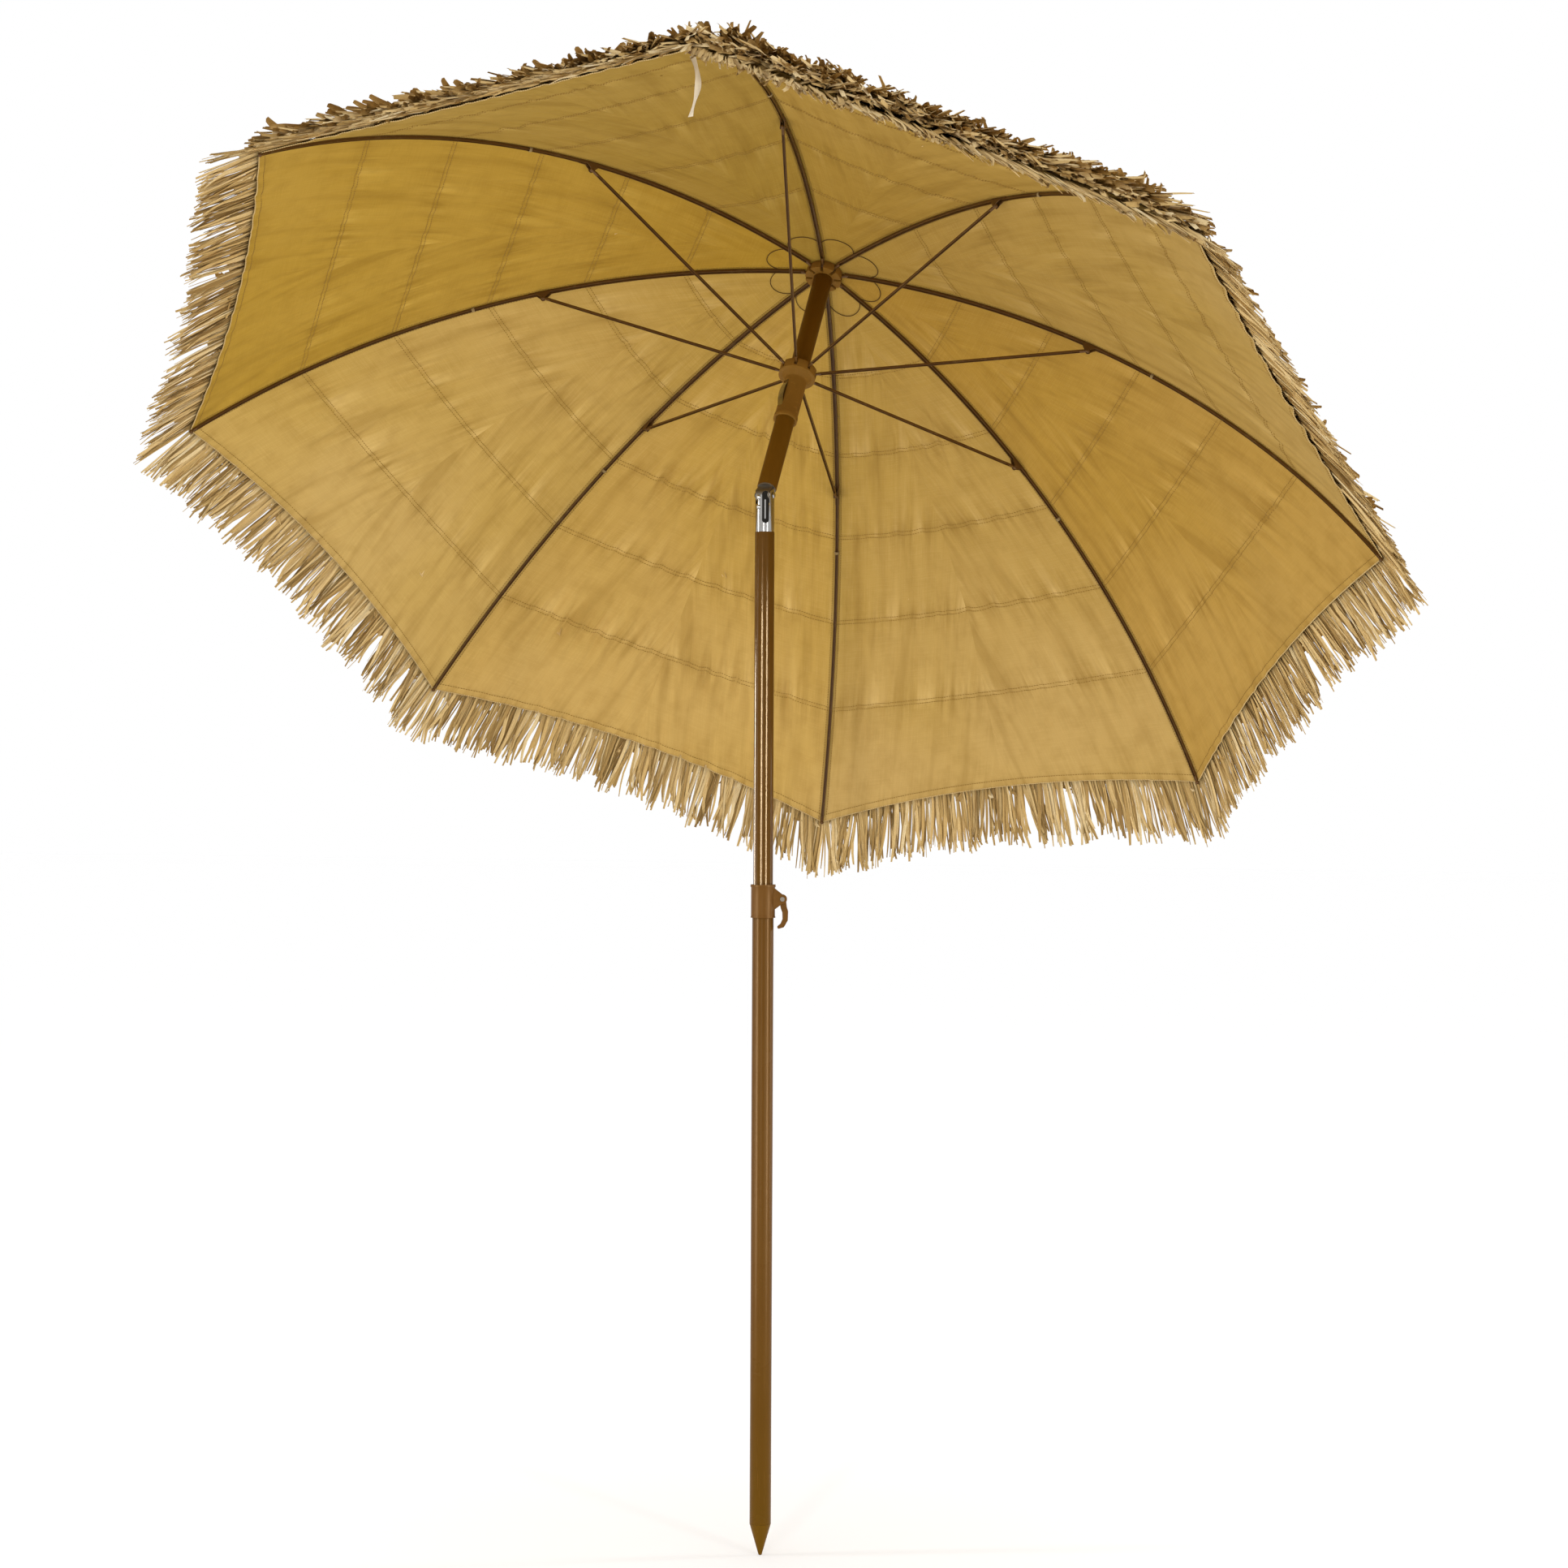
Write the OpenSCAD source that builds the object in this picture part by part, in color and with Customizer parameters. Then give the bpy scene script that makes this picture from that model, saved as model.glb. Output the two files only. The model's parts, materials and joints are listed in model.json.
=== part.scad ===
// Tilting beach umbrella with a thatched canopy.
// Origin: shoulder of the ground spike, on the axis of the lower tube, +Z up that tube.
// The canopy leans towards +Y about a hinge that runs along X.

/* [Poles] */
// Outer diameter of the lower tube
lower_od = 30.4; // [30:0.2:32]
// Length of the lower tube above its spike
lower_len = 878; // [866:1:880]
// Outer diameter of the sliding mid tube and of the upper tube
mid_od = 28; // [27:0.1:28.2]
// Wall of the mid tube and of the upper tube
mid_wall = 1; // [0.8:0.1:1.2]
// Height of the mid tube's lower end
mid_bottom = 640; // [500:1:700]
// Length of the pointed end below the lower tube
spike_len = 45; // [30:1:60]

/* [Clamp] */
// Height of the collar's lower edge
collar_z = 859; // [850:1:865]
// Height of the collar
collar_h = 47; // [45:1:52]
// Outer diameter of the collar
collar_od = 34.2; // [33.6:0.2:36]
// Direction that the lever points in, from +X
lever_turn = 21.5; // [0:0.5:45]

/* [Tilt joint] */
// Height of the tilt hinge above the shoulder
tilt_z = 1458; // [1300:1:1550]
// Lean of the upper tube away from upright
tilt_angle = 34; // [0:1:40]
// Outer diameter of the tilt socket
socket_od = 27; // [26.6:0.1:27.4]

/* [Canopy] */
// Distance from the pole axis to each rib tip
rim_r = 868; // [800:1:900]
// Height of the rib tips along the upper tube, from the tilt hinge
rim_h = 4; // [0:1:20]
// Height of the hub's hinge pins along the upper tube
hub_h = 415; // [410:1:420]
// Height of the runner's hinge pins along the upper tube
runner_h = 226; // [220:1:232]
// Distance from the pole axis to each stretcher fork
fork_r = 410; // [400:1:420]
// Direction of the first rib, from +X
rib_turn = 12; // [0:1:44]
// How far the hem curves in between two rib tips
scallop = 27; // [10:1:40]
// How far the fabric sinks between two ribs
sag = 12; // [4:1:20]
// Length of the raffia fringe past the hem
fringe = 104; // [60:1:120]
// Thickness of the raffia layer
thatch_t = 13; // [8:1:20]

/* [Hidden] */
$fn = 96;
RIBS = 8;
function each_rib(name) = [for (i = [1:RIBS]) str(name, "_", i)];

// Fits
running = 0.05;   // radial clearance of a shaft that turns or slides
free_gap = 0.4;   // clearance between faces that pass without touching
eps = 0.01;

// Poles
lower_r = lower_od / 2;
lower_bore_r = lower_r - 0.8;
seat_r = lower_r - 0.2;      // the lower tube has no enamel inside the collar
enamel_top = collar_z - 1;
mid_r = mid_od / 2;
mid_bore_r = mid_r - mid_wall;
mid_top = tilt_z - 52;
upper_start = 13;
upper_end = hub_h + 12;

// Clamp
collar_r = collar_od / 2;
pivot_x = 27.5;
pivot_z = collar_z + 26.4;
lever_half_w = 4.8;
cheek_t = 3.6;
cheek_out = lever_half_w + free_gap + cheek_t;
pad_end_x = 20.3;

// Tilt joint
socket_r = socket_od / 2;
slot_half = 10.5;
hinge_r = 3;

// Hub, runner and ribs
crown_r = 27;
pin_circle_r = 20;
hinge_pin_r = 0.8;
slot_w = 4.4;
fork_h = (hub_h + runner_h) / 2;
fork_pin_r = 1.5;
rib_d = 4.2;
ribbon_rib = 7;
catch_turn = 238;
catch_w = 10.9;
catch_z = runner_h - 47;
stretcher_eye_r = 3.6;
stretcher_hole_r = 2;  // wide enough to let the fold run at a constant ratio

// The rib's arc runs through three points of the plane (distance from the pole, height)
arc_a = [pin_circle_r, hub_h + 4];
arc_b = [fork_r + 2.5, fork_h + 8.5];
arc_c = [rim_r, rim_h];
function centre_of(a, b, c) =
    let (d = 2 * (a.x * (b.y - c.y) + b.x * (c.y - a.y) + c.x * (a.y - b.y)))
    [(a * a * (b.y - c.y) + b * b * (c.y - a.y) + c * c * (a.y - b.y)) / d,
     (a * a * (c.x - b.x) + b * b * (a.x - c.x) + c * c * (b.x - a.x)) / d];
arc_o = centre_of(arc_a, arc_b, arc_c);
arc_r = norm(arc_a - arc_o);
function angle_at(x) = acos((x - arc_o.x) / arc_r);
function rib_point(angle, out = 0) = arc_o + (arc_r + out) * [cos(angle), sin(angle)];
hub_angle = angle_at(pin_circle_r - 4);
tip_angle = angle_at(rim_r);
arc_len = (hub_angle - tip_angle) * arc_r * PI / 180;
half_gore = 180 / RIBS;

// Canopy surface of one sector: s is the distance along the rib, v runs from -1 to 1 between
// the middles of the two panels that meet at the rib, and out lifts the point off the fabric.
fabric_lift = rib_d / 2 + 1.2;
function across(v) = tan(half_gore * (1 - abs(v))) / tan(half_gore);
function hollow(v) = 1 - pow(across(v), 2);
function hem_s(v) = arc_len - scallop * hollow(v);
function skin(s, v, out) =
    let (angle = hub_angle - s / arc_r * 180 / PI,
         p = rib_point(angle, fabric_lift + out),
         turn = v * half_gore,
         r = p.x * cos(half_gore) / cos(half_gore - abs(turn)),
         dip = sag * hollow(v) * sin(180 * min(s / arc_len, 1)))
    [r * cos(turn), r * sin(turn), p.y - dip];

module upper_frame() {
    translate([0, 0, tilt_z]) rotate([-tilt_angle, 0, 0]) children();
}

module rib_frame(i) {
    upper_frame() rotate([0, 0, rib_turn + (i - 1) * 360 / RIBS]) children();
}

module tube(r, bore, z0, z1) {
    translate([0, 0, z0]) difference() {
        cylinder(h = z1 - z0, r = r);
        translate([0, 0, -1]) cylinder(h = z1 - z0 + 2, r = bore);
    }
}

// A rod or a hole along Y through a point of the XZ plane
module cross_rod(x, z, r, length) {
    translate([x, length / 2, z]) rotate([90, 0, 0]) cylinder(h = length, r = r);
}

// A plate in the XZ plane, centred on Y
module side_plate(thickness) {
    translate([0, thickness / 2, 0]) rotate([90, 0, 0]) linear_extrude(thickness) children();
}

// Lower pole

module ground_spike() {
    nose_r = 3;
    color("#6b4417") union() {
        translate([0, 0, nose_r - spike_len]) sphere(r = nose_r);
        translate([0, 0, nose_r - spike_len])
            cylinder(h = spike_len - nose_r, r1 = nose_r, r2 = lower_r);
        cylinder(h = 40, r = lower_bore_r);
    }
}

module lower_tube() {
    color("#764e26") union() {
        tube(lower_r, lower_bore_r, 0, enamel_top);
        tube(seat_r, lower_bore_r, enamel_top - eps, lower_len);
    }
}

module clamp_collar() {
    cheek_y = cheek_out - cheek_t / 2;
    bead = 3.5;
    color("#5d3a1a") rotate([0, 0, lever_turn]) difference() {
        union() {
            translate([0, 0, collar_z]) cylinder(h = collar_h, r = collar_r);
            translate([0, 0, collar_z + collar_h - bead]) cylinder(h = bead, r = collar_r + 0.8);
            translate([0, 0, collar_z]) cylinder(h = 2, r = collar_r + 0.5);
            for (side = [-1, 1]) translate([0, side * cheek_y, 0]) side_plate(cheek_t) {
                polygon([[14, collar_z + 10], [pivot_x, pivot_z - 6.5], [pivot_x, pivot_z + 6.5],
                         [14, collar_z + collar_h - bead]]);
                translate([pivot_x, pivot_z]) circle(r = 6.5);
            }
        }
        translate([0, 0, collar_z - 1])
            cylinder(h = lower_len - collar_z + 1, r = seat_r + running);
        cylinder(h = 2 * collar_z, r = mid_r + running);
        translate([10, 0, pivot_z]) rotate([0, 90, 0]) cylinder(h = 12, r = 4);
        cross_rod(pivot_x, pivot_z, 2, 40);
    }
}

module clamp_pad() {
    start = mid_r + 0.3;
    color("#b9a06a") rotate([0, 0, lever_turn])
        translate([start, 0, pivot_z]) rotate([0, 90, 0]) cylinder(h = pad_end_x - start, r = 3.98);
}

module lever_pin() {
    head = 1.2;
    head_y = cheek_out + head / 2 + eps;
    color("silver") rotate([0, 0, lever_turn]) {
        cross_rod(pivot_x, pivot_z, 2 - eps, 2 * head_y);
        for (side = [-1, 1]) translate([0, side * head_y, 0]) cross_rod(pivot_x, pivot_z, 3.2, head);
    }
}

module clamp_lever() {
    // Centres and radii of the rounds along the arm, from the cam down to the hook
    rounds = [[pivot_x + 2, pivot_z - 12, 4.4], [pivot_x + 4, pivot_z - 18, 4.2],
              [pivot_x + 4, pivot_z - 29, 3.8], [pivot_x, pivot_z - 37, 3.3],
              [pivot_x - 5, pivot_z - 39.6, 2.2]];
    finger_w = 14;
    module link(a, b) {
        hull() for (p = [a, b]) translate([p.x, p.y]) circle(r = p.z, $fn = 32);
    }
    color("#54351a") rotate([0, 0, lever_turn]) difference() {
        union() {
            side_plate(2 * lever_half_w) {
                translate([pivot_x, pivot_z]) circle(r = 6.2);
                translate([pivot_x - 1.6, pivot_z]) circle(r = 5.2);
                link([pivot_x, pivot_z, 5], rounds[0]);
                link(rounds[0], rounds[1]);
            }
            side_plate(finger_w) for (i = [1:3]) link(rounds[i], rounds[i + 1]);
        }
        cross_rod(pivot_x, pivot_z, 2 + running, 40);
    }
}

// Mid pole

module mid_tube() {
    color("#47290e") tube(mid_r, mid_bore_r, mid_bottom, mid_top);
}

module mid_bush() {
    color("#2b2b2b") difference() {
        union() {
            translate([0, 0, mid_bottom - 12]) cylinder(h = 12, r = lower_bore_r - running);
            translate([0, 0, mid_bottom - eps]) cylinder(h = 25, r = mid_bore_r);
        }
        translate([0, 0, mid_bottom - 13]) cylinder(h = 40, r = 8);
    }
}

module tilt_socket() {
    floor_z = tilt_z - 14;
    back_wall = 1.8;
    color("#c8c8cc") difference() {
        union() {
            translate([0, 0, mid_top - 30]) cylinder(h = 31, r = mid_bore_r);
            translate([0, 0, mid_top]) cylinder(h = tilt_z - mid_top, r = socket_r);
            intersection() {
                translate([0, 0, mid_top]) cylinder(h = tilt_z - mid_top + 20, r = socket_r);
                translate([-20, 0, tilt_z]) rotate([0, 90, 0]) cylinder(h = 40, r = 8.6);
            }
        }
        translate([-slot_half, back_wall - socket_r, floor_z]) cube([2 * slot_half, 40, 60]);
        translate([0, 0, mid_top - 31]) cylinder(h = 40, r = 9);
        translate([-20, 0, tilt_z]) rotate([0, 90, 0]) cylinder(h = 40, r = hinge_r);
    }
}

module tilt_pin() {
    color("#d8d8dc") {
        translate([-socket_r, 0, tilt_z]) rotate([0, 90, 0])
            cylinder(h = 2 * socket_r, r = hinge_r - eps);
        for (side = [-1, 1]) translate([side * socket_r, 0, tilt_z]) rotate([0, side * 90, 0])
            cylinder(h = 1.6, r1 = 5, r2 = 3);
    }
}

module tilt_rivets() {
    // Two rivets through the back wall of the socket, a little off the tilt plane
    color("#e6e6ea") for (z = [tilt_z - 3.5, tilt_z - 17.3]) rotate([0, 0, -108])
        translate([socket_r - 0.5, 0, z]) rotate([0, 90, 0]) {
            cylinder(h = 1.3, r = 3);
            translate([0, 0, 1.3 - eps]) cylinder(h = 0.9, r1 = 3, r2 = 1.6);
        }
}

// Upper pole, in the frame of the upper tube

module tilt_knuckle() {
    half = slot_half - free_gap;
    color("#8f8f94") upper_frame() difference() {
        union() {
            translate([-half, 0, 0]) rotate([0, 90, 0]) cylinder(h = 2 * half, r = 11);
            translate([-half, -8, 0]) cube([2 * half, 16, upper_start]);
            translate([0, 0, upper_start - 2]) cylinder(h = 34, r = mid_bore_r);
        }
        translate([-20, 0, 0]) rotate([0, 90, 0]) cylinder(h = 40, r = hinge_r + running);
    }
}

module upper_tube() {
    color("#3f250d") upper_frame() tube(mid_r, mid_bore_r, upper_start, upper_end);
}

// A ring of short hinge pins, one for each slot
module pin_ring(z, r) {
    for (i = [0:RIBS - 1]) rotate([0, 0, rib_turn + i * 360 / RIBS])
        cross_rod(pin_circle_r, z, r, 12);
}

// A crown from z0 to z1 with one slot for each rib or stretcher, cut down to slot_z
module crown(z0, z1, slot_z, pin_z) {
    difference() {
        translate([0, 0, z0]) cylinder(h = z1 - z0, r = crown_r);
        for (i = [0:RIBS - 1]) rotate([0, 0, rib_turn + i * 360 / RIBS])
            translate([pin_circle_r - 4, -slot_w / 2, slot_z]) cube([20, slot_w, z1 - slot_z + 1]);
        pin_ring(pin_z, hinge_pin_r);
    }
}

module hub_crown() {
    color("#6e4819") upper_frame() difference() {
        crown(hub_h - 8, hub_h + 4.5, hub_h - 9, hub_h);
        cylinder(h = 2 * hub_h, r = mid_r);
    }
}

module hub_pins() {
    color("silver") upper_frame() pin_ring(hub_h, hinge_pin_r - eps);
}

module top_cap() {
    cap_z = upper_end;
    color("#4a2d12") upper_frame() {
        translate([0, 0, cap_z - 20]) cylinder(h = 20 + eps, r = mid_bore_r);
        translate([0, 0, cap_z]) cylinder(h = 4, r = 34);
        translate([0, 0, cap_z + 4 - eps]) cylinder(h = 14, r1 = 30, r2 = 9);
        translate([0, 0, cap_z + 22]) sphere(r = 10);
    }
}

module runner() {
    bottom = runner_h - 89;
    land = 6;
    color("#6e4819") upper_frame() difference() {
        union() {
            crown(runner_h - 8, runner_h + 6, runner_h - 5, runner_h);
            translate([0, 0, runner_h - 16]) cylinder(h = 8 + eps, r1 = 16.4, r2 = 22);
            translate([0, 0, bottom]) cylinder(h = 90, r = 16.4);
            translate([0, 0, bottom]) cylinder(h = 7, r = 17.4);
        }
        translate([0, 0, bottom - 1]) cylinder(h = 120, r = mid_r + running);
        translate([0, 0, bottom + land]) cylinder(h = 89 - 2 * land, r = mid_r + free_gap);
        rotate([0, 0, catch_turn]) translate([12, -catch_w / 2 - running, catch_z - 24])
            cube([12, catch_w + 2 * running, 48]);
    }
}

module runner_pins() {
    color("silver") upper_frame() pin_ring(runner_h, hinge_pin_r - eps);
}

module runner_catch() {
    // A bowed leaf: the arc of a circle, held at both ends by the sleeve
    bow_r = 62;
    leaf = 0.8;
    color("#e0e0e4") upper_frame() rotate([0, 0, catch_turn]) side_plate(catch_w)
        intersection() {
            translate([mid_r + 5 - bow_r, catch_z]) difference() {
                circle(r = bow_r);
                circle(r = bow_r - leaf);
            }
            translate([mid_r + free_gap, catch_z - 23.9]) square([10, 47.8]);
        }
}

// Ribs, in a frame with X away from the pole and Z along the upper tube

// A channel bent along the rib's arc between two distances from the pole
module channel(x0, x1, width, depth, wall) {
    translate([arc_o.x, 0, arc_o.y]) rotate([90, 0, 0]) rotate([0, 0, angle_at(x1)])
        rotate_extrude(angle = angle_at(x0) - angle_at(x1)) translate([arc_r, 0]) difference() {
            translate([-depth / 2, -width / 2]) square([depth, width]);
            translate([-depth / 2 - 1, wall - width / 2]) square([depth + 1 - wall, width - 2 * wall]);
        }
}

module rib(i) {
    heel = rib_point(angle_at(crown_r + 8));
    color("#5a3c1c") rib_frame(i) difference() {
        union() {
            channel(crown_r + 3, fork_r + 22, 5.4, rib_d, 0.6);
            channel(fork_r - 10, rim_r - 2.3, 4.4, 3.6, 0.6);
            cross_rod(pin_circle_r, hub_h, 3, 3);
            side_plate(3) polygon([[pin_circle_r, hub_h - 2], heel - [0, 1.8], heel + [0, 1.9],
                                   [pin_circle_r, hub_h + 3]]);
        }
        cross_rod(pin_circle_r, hub_h, hinge_pin_r + running, 10);
    }
}

module rib_fittings(i) {
    cheek_y = 3.1;
    left = rib_point(angle_at(fork_r - 12));
    right = rib_point(angle_at(fork_r + 14));
    tip = rib_point(tip_angle, -0.5);
    color("#5a3c1c") rib_frame(i) {
        for (side = [-1, 1]) translate([0, side * cheek_y, 0]) side_plate(0.7) {
            polygon([[fork_r - 3.4, fork_h - 1], [fork_r + 3.4, fork_h - 1],
                     right + [0, 1], left + [0, 1]]);
            translate([fork_r, fork_h]) circle(r = 3.8);
        }
        cross_rod(fork_r, fork_h, fork_pin_r, 8);
        translate([tip.x, 0, tip.y]) {
            sphere(r = 3);
            rotate([0, -tip_angle, 0]) cylinder(h = 10, r = 1.2);
        }
    }
}

module stretcher(i) {
    run = fork_r - pin_circle_r;
    rise = fork_h - runner_h;
    length = norm([run, rise]);
    width = 3.8;
    depth = 3.2;
    wall = 0.5;
    color("#5a3c1c") rib_frame(i) translate([pin_circle_r, 0, runner_h])
        rotate([0, -atan2(rise, run), 0]) difference() {
            union() {
                difference() {
                    translate([12, -width / 2, -depth / 2]) cube([length - 18, width, depth]);
                    translate([11, -width / 2 + wall, -depth / 2 - 1])
                        cube([length - 16, width - 2 * wall, depth + 1 - wall]);
                }
                cross_rod(0, 0, stretcher_eye_r, 3);
                cross_rod(length, 0, 3, 3.6);
                translate([0, -1.5, -1.5]) cube([14, 3, 2.6]);
                translate([length - 12, -1.8, -1.5]) cube([12, 3.6, 2.6]);
            }
            cross_rod(0, 0, stretcher_hole_r, 10);
            cross_rod(length, 0, fork_pin_r + running, 10);
        }
}

// A closed shell over a grid of the sector: low(s, v) and high(s, v) are its two faces
module shell(low, high) {
    rows = len(low) - 1;
    cols = len(low[0]) - 1;
    count = (rows + 1) * (cols + 1);
    function at(r, c, top) = r * (cols + 1) + c + (top ? count : 0);
    points = concat([for (row = low) each row], [for (row = high) each row]);
    sheet = [for (r = [0:rows - 1], c = [0:cols - 1]) each [
        [at(r, c, true), at(r, c + 1, true), at(r + 1, c + 1, true)],
        [at(r, c, true), at(r + 1, c + 1, true), at(r + 1, c, true)],
        [at(r, c, false), at(r + 1, c + 1, false), at(r, c + 1, false)],
        [at(r, c, false), at(r + 1, c, false), at(r + 1, c + 1, false)]]];
    ends = [for (r = [0, rows], c = [0:cols - 1])
        let (a = at(r, c, false), b = at(r, c + 1, false),
             d = at(r, c, true), e = at(r, c + 1, true))
        each (r == 0 ? [[a, b, e], [a, e, d]] : [[a, e, b], [a, d, e]])];
    sides = [for (c = [0, cols], r = [0:rows - 1])
        let (a = at(r, c, false), b = at(r + 1, c, false),
             d = at(r, c, true), e = at(r + 1, c, true))
        each (c == 0 ? [[a, e, b], [a, d, e]] : [[a, b, e], [a, e, d]])];
    polyhedron(points, concat(sheet, ends, sides), convexity = 6);
}

seam = 0.9995;    // sectors stop this share of the way to the middle of a panel
columns = [-1, -0.75, -0.5, -0.25, 0, 0.25, 0.5, 0.75, 1] * seam;
fabric_rows = 20;
fabric_t = 0.9;

module canopy(i) {
    color("#c39a45") rib_frame(i) shell(
        [for (k = [0:fabric_rows]) [for (v = columns) skin(hem_s(v) * k / fabric_rows, v, 0)]],
        [for (k = [0:fabric_rows]) [for (v = columns)
            skin(hem_s(v) * k / fabric_rows, v, fabric_t)]]);
}

thatch_rows = 18;
thatch_start = 24;
thatch_gap = 1.2;

module thatch(i) {
    // Full thickness over the fabric, thin at the ends of the fringe, which droops a little
    function along(k, v) = thatch_start + (hem_s(v) + fringe - thatch_start) * k / thatch_rows;
    function depth(k) = thatch_t * min(1, 0.35 + 0.2 * k, 0.35 + 0.16 * (thatch_rows - k));
    color("#b08d57") rib_frame(i) shell(
        [for (k = [0:thatch_rows]) [for (v = columns)
            skin(along(k, v), v, fabric_t + thatch_gap)]],
        [for (k = [0:thatch_rows]) [for (v = columns)
            skin(along(k, v), v, fabric_t + thatch_gap + depth(k))]]);
}

module tie_ribbon() {
    // Hangs straight down from just inside one rib tip
    tip = rib_point(angle_at(rim_r - 10), -7);
    turn = rib_turn + (ribbon_rib - 1) * 360 / RIBS;
    x = tip.x * cos(turn);
    y = tip.x * sin(turn);
    color("#efe9dc") translate([x, y * cos(tilt_angle) + tip.y * sin(tilt_angle),
                                tilt_z - y * sin(tilt_angle) + tip.y * cos(tilt_angle)])
        translate([-4, -0.3, -74]) cube([8, 0.6, 74]);
}

ground_spike();
lower_tube();
clamp_collar();
clamp_pad();
lever_pin();
clamp_lever();
mid_tube();
mid_bush();
tilt_socket();
tilt_pin();
tilt_rivets();
tilt_knuckle();
upper_tube();
hub_crown();
hub_pins();
top_cap();
runner();
runner_pins();
runner_catch();
tie_ribbon();
for (i = [1:RIBS]) {
    rib(i);
    rib_fittings(i);
    stretcher(i);
    canopy(i);
    thatch(i);
}
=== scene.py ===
"""Tilting beach umbrella: fabric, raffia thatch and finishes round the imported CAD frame."""
import json
import math

import bmesh
import bpy
import numpy as np
from mathutils import Matrix, Vector

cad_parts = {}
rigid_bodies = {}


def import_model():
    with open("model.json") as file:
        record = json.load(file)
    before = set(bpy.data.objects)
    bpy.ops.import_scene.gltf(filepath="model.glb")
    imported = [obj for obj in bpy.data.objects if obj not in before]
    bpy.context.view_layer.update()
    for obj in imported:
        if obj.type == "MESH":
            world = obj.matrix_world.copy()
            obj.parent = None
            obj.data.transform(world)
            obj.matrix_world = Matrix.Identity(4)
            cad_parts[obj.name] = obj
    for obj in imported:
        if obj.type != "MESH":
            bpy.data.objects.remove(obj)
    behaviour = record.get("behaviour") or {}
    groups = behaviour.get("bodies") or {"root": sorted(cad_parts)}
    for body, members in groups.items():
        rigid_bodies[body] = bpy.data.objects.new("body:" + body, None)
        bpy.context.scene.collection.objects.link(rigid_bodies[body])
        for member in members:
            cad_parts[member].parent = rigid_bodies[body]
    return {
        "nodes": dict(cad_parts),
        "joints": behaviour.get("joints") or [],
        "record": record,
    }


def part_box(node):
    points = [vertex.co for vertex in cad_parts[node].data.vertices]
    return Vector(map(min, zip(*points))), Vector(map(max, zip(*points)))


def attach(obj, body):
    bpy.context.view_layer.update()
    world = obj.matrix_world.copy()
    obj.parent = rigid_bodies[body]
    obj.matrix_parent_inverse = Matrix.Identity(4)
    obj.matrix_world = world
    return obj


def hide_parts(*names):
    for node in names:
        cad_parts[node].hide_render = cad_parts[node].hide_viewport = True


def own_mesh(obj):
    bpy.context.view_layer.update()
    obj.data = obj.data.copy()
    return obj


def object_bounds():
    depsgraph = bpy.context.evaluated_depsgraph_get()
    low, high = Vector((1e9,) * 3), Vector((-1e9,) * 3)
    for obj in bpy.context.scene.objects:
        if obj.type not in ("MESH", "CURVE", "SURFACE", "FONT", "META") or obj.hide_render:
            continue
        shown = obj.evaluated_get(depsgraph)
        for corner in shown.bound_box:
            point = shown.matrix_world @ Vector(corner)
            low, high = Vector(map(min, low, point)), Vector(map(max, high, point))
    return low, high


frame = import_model()
CAD_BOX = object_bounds()

# Sizes, in metres
RIB_COUNT = 8
LOWER_WALL, UPPER_WALL = 0.0008, 0.001  # how far a tube's bore is inside its outside
SHARP_EDGE = math.radians(35)  # faces that meet at more than this stay sharp
MERGE = 1e-6  # points closer than this are one
RIM_R, RIM_H = 0.868, 0.004  # rib tip: away from the upper tube, and along it from the hinge
CHANNEL_RISE = (0.0, 0.004)  # from a rib's hinge pin to the middle of its channel
FORK_RISE = (0.0025, 0.0085)  # from the fork's pin to the middle of the channel
INNER_EDGE = 0.004  # the fabric starts this far inside the ring of hinge pins
FABRIC_LIFT = 0.0033  # from the middle of the channel to the fabric's lower face
FABRIC_T = 0.0005  # thickness of the fabric
SCALLOP = 0.027  # how far the hem's middle is drawn in between two rib tips
SAG = 0.012  # how far the middle of a panel hangs below its ribs
FRINGE = 0.104  # length of the loose strands past the hem
HIGH_SIDE_FALL = 1.8  # how much more the fringe hangs where it lies flat
BAND_REACH = 0.098  # length of the strands of a raffia band
ROW_GAP = 0.1475  # between the rows that the raffia bands are sewn along
FIRST_ROW = 0.196
ROW_COUNT = 5
HEM_W = 0.013  # width of the hem
GATHER_H = 0.0040  # height of the gathers at the sewn rows
TIE_S, TIE_TURNS = 0.515, 4  # where the thread ties hold the fabric to each rib
RIBBON_RIB = 7  # the rib whose tip the ribbon hangs from
HALF_PANEL = math.pi / RIB_COUNT
RELEASE_TURN = math.radians(296)  # where the joint's release faces, from +X
# Each panel's painted light, as the factors its colour is scaled by, from the one between ribs 1 and 2
# round to the last, and how slack it hangs
PANEL_LIGHT = ((0.83, 0.82, 0.80), (0.90, 0.96, 1.28), (0.98, 1.03, 1.28), (0.99, 1.07, 1.40),
             (0.85, 0.85, 0.58), (0.73, 0.76, 0.70), (0.77, 0.79, 0.76), (0.80, 0.84, 1.00))
PANEL_SLACK = (0.8, 1.1, 1.2, 1.0, 0.6, 0.5, 0.5, 0.6)

# The camera: where it stands, its heading from +Y towards +X, its roll and its lens
CAMERA_AT = (1.83447, -4.58156, 1.04868)
CAMERA_HEADING = math.radians(-21.485)
CAMERA_ROLL = math.radians(0.2625)
FOCAL_SHARE = 4287 / 1932  # focal length over the picture's width

JOINTS = {j["name"]: j for j in frame["joints"]}
HINGE = np.array(JOINTS["tilt_hinge"]["pos_m"])
UPPER_AXIS = -np.array(JOINTS["runner_slide"]["axis"])


# ---- the canopy's geometry

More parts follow.
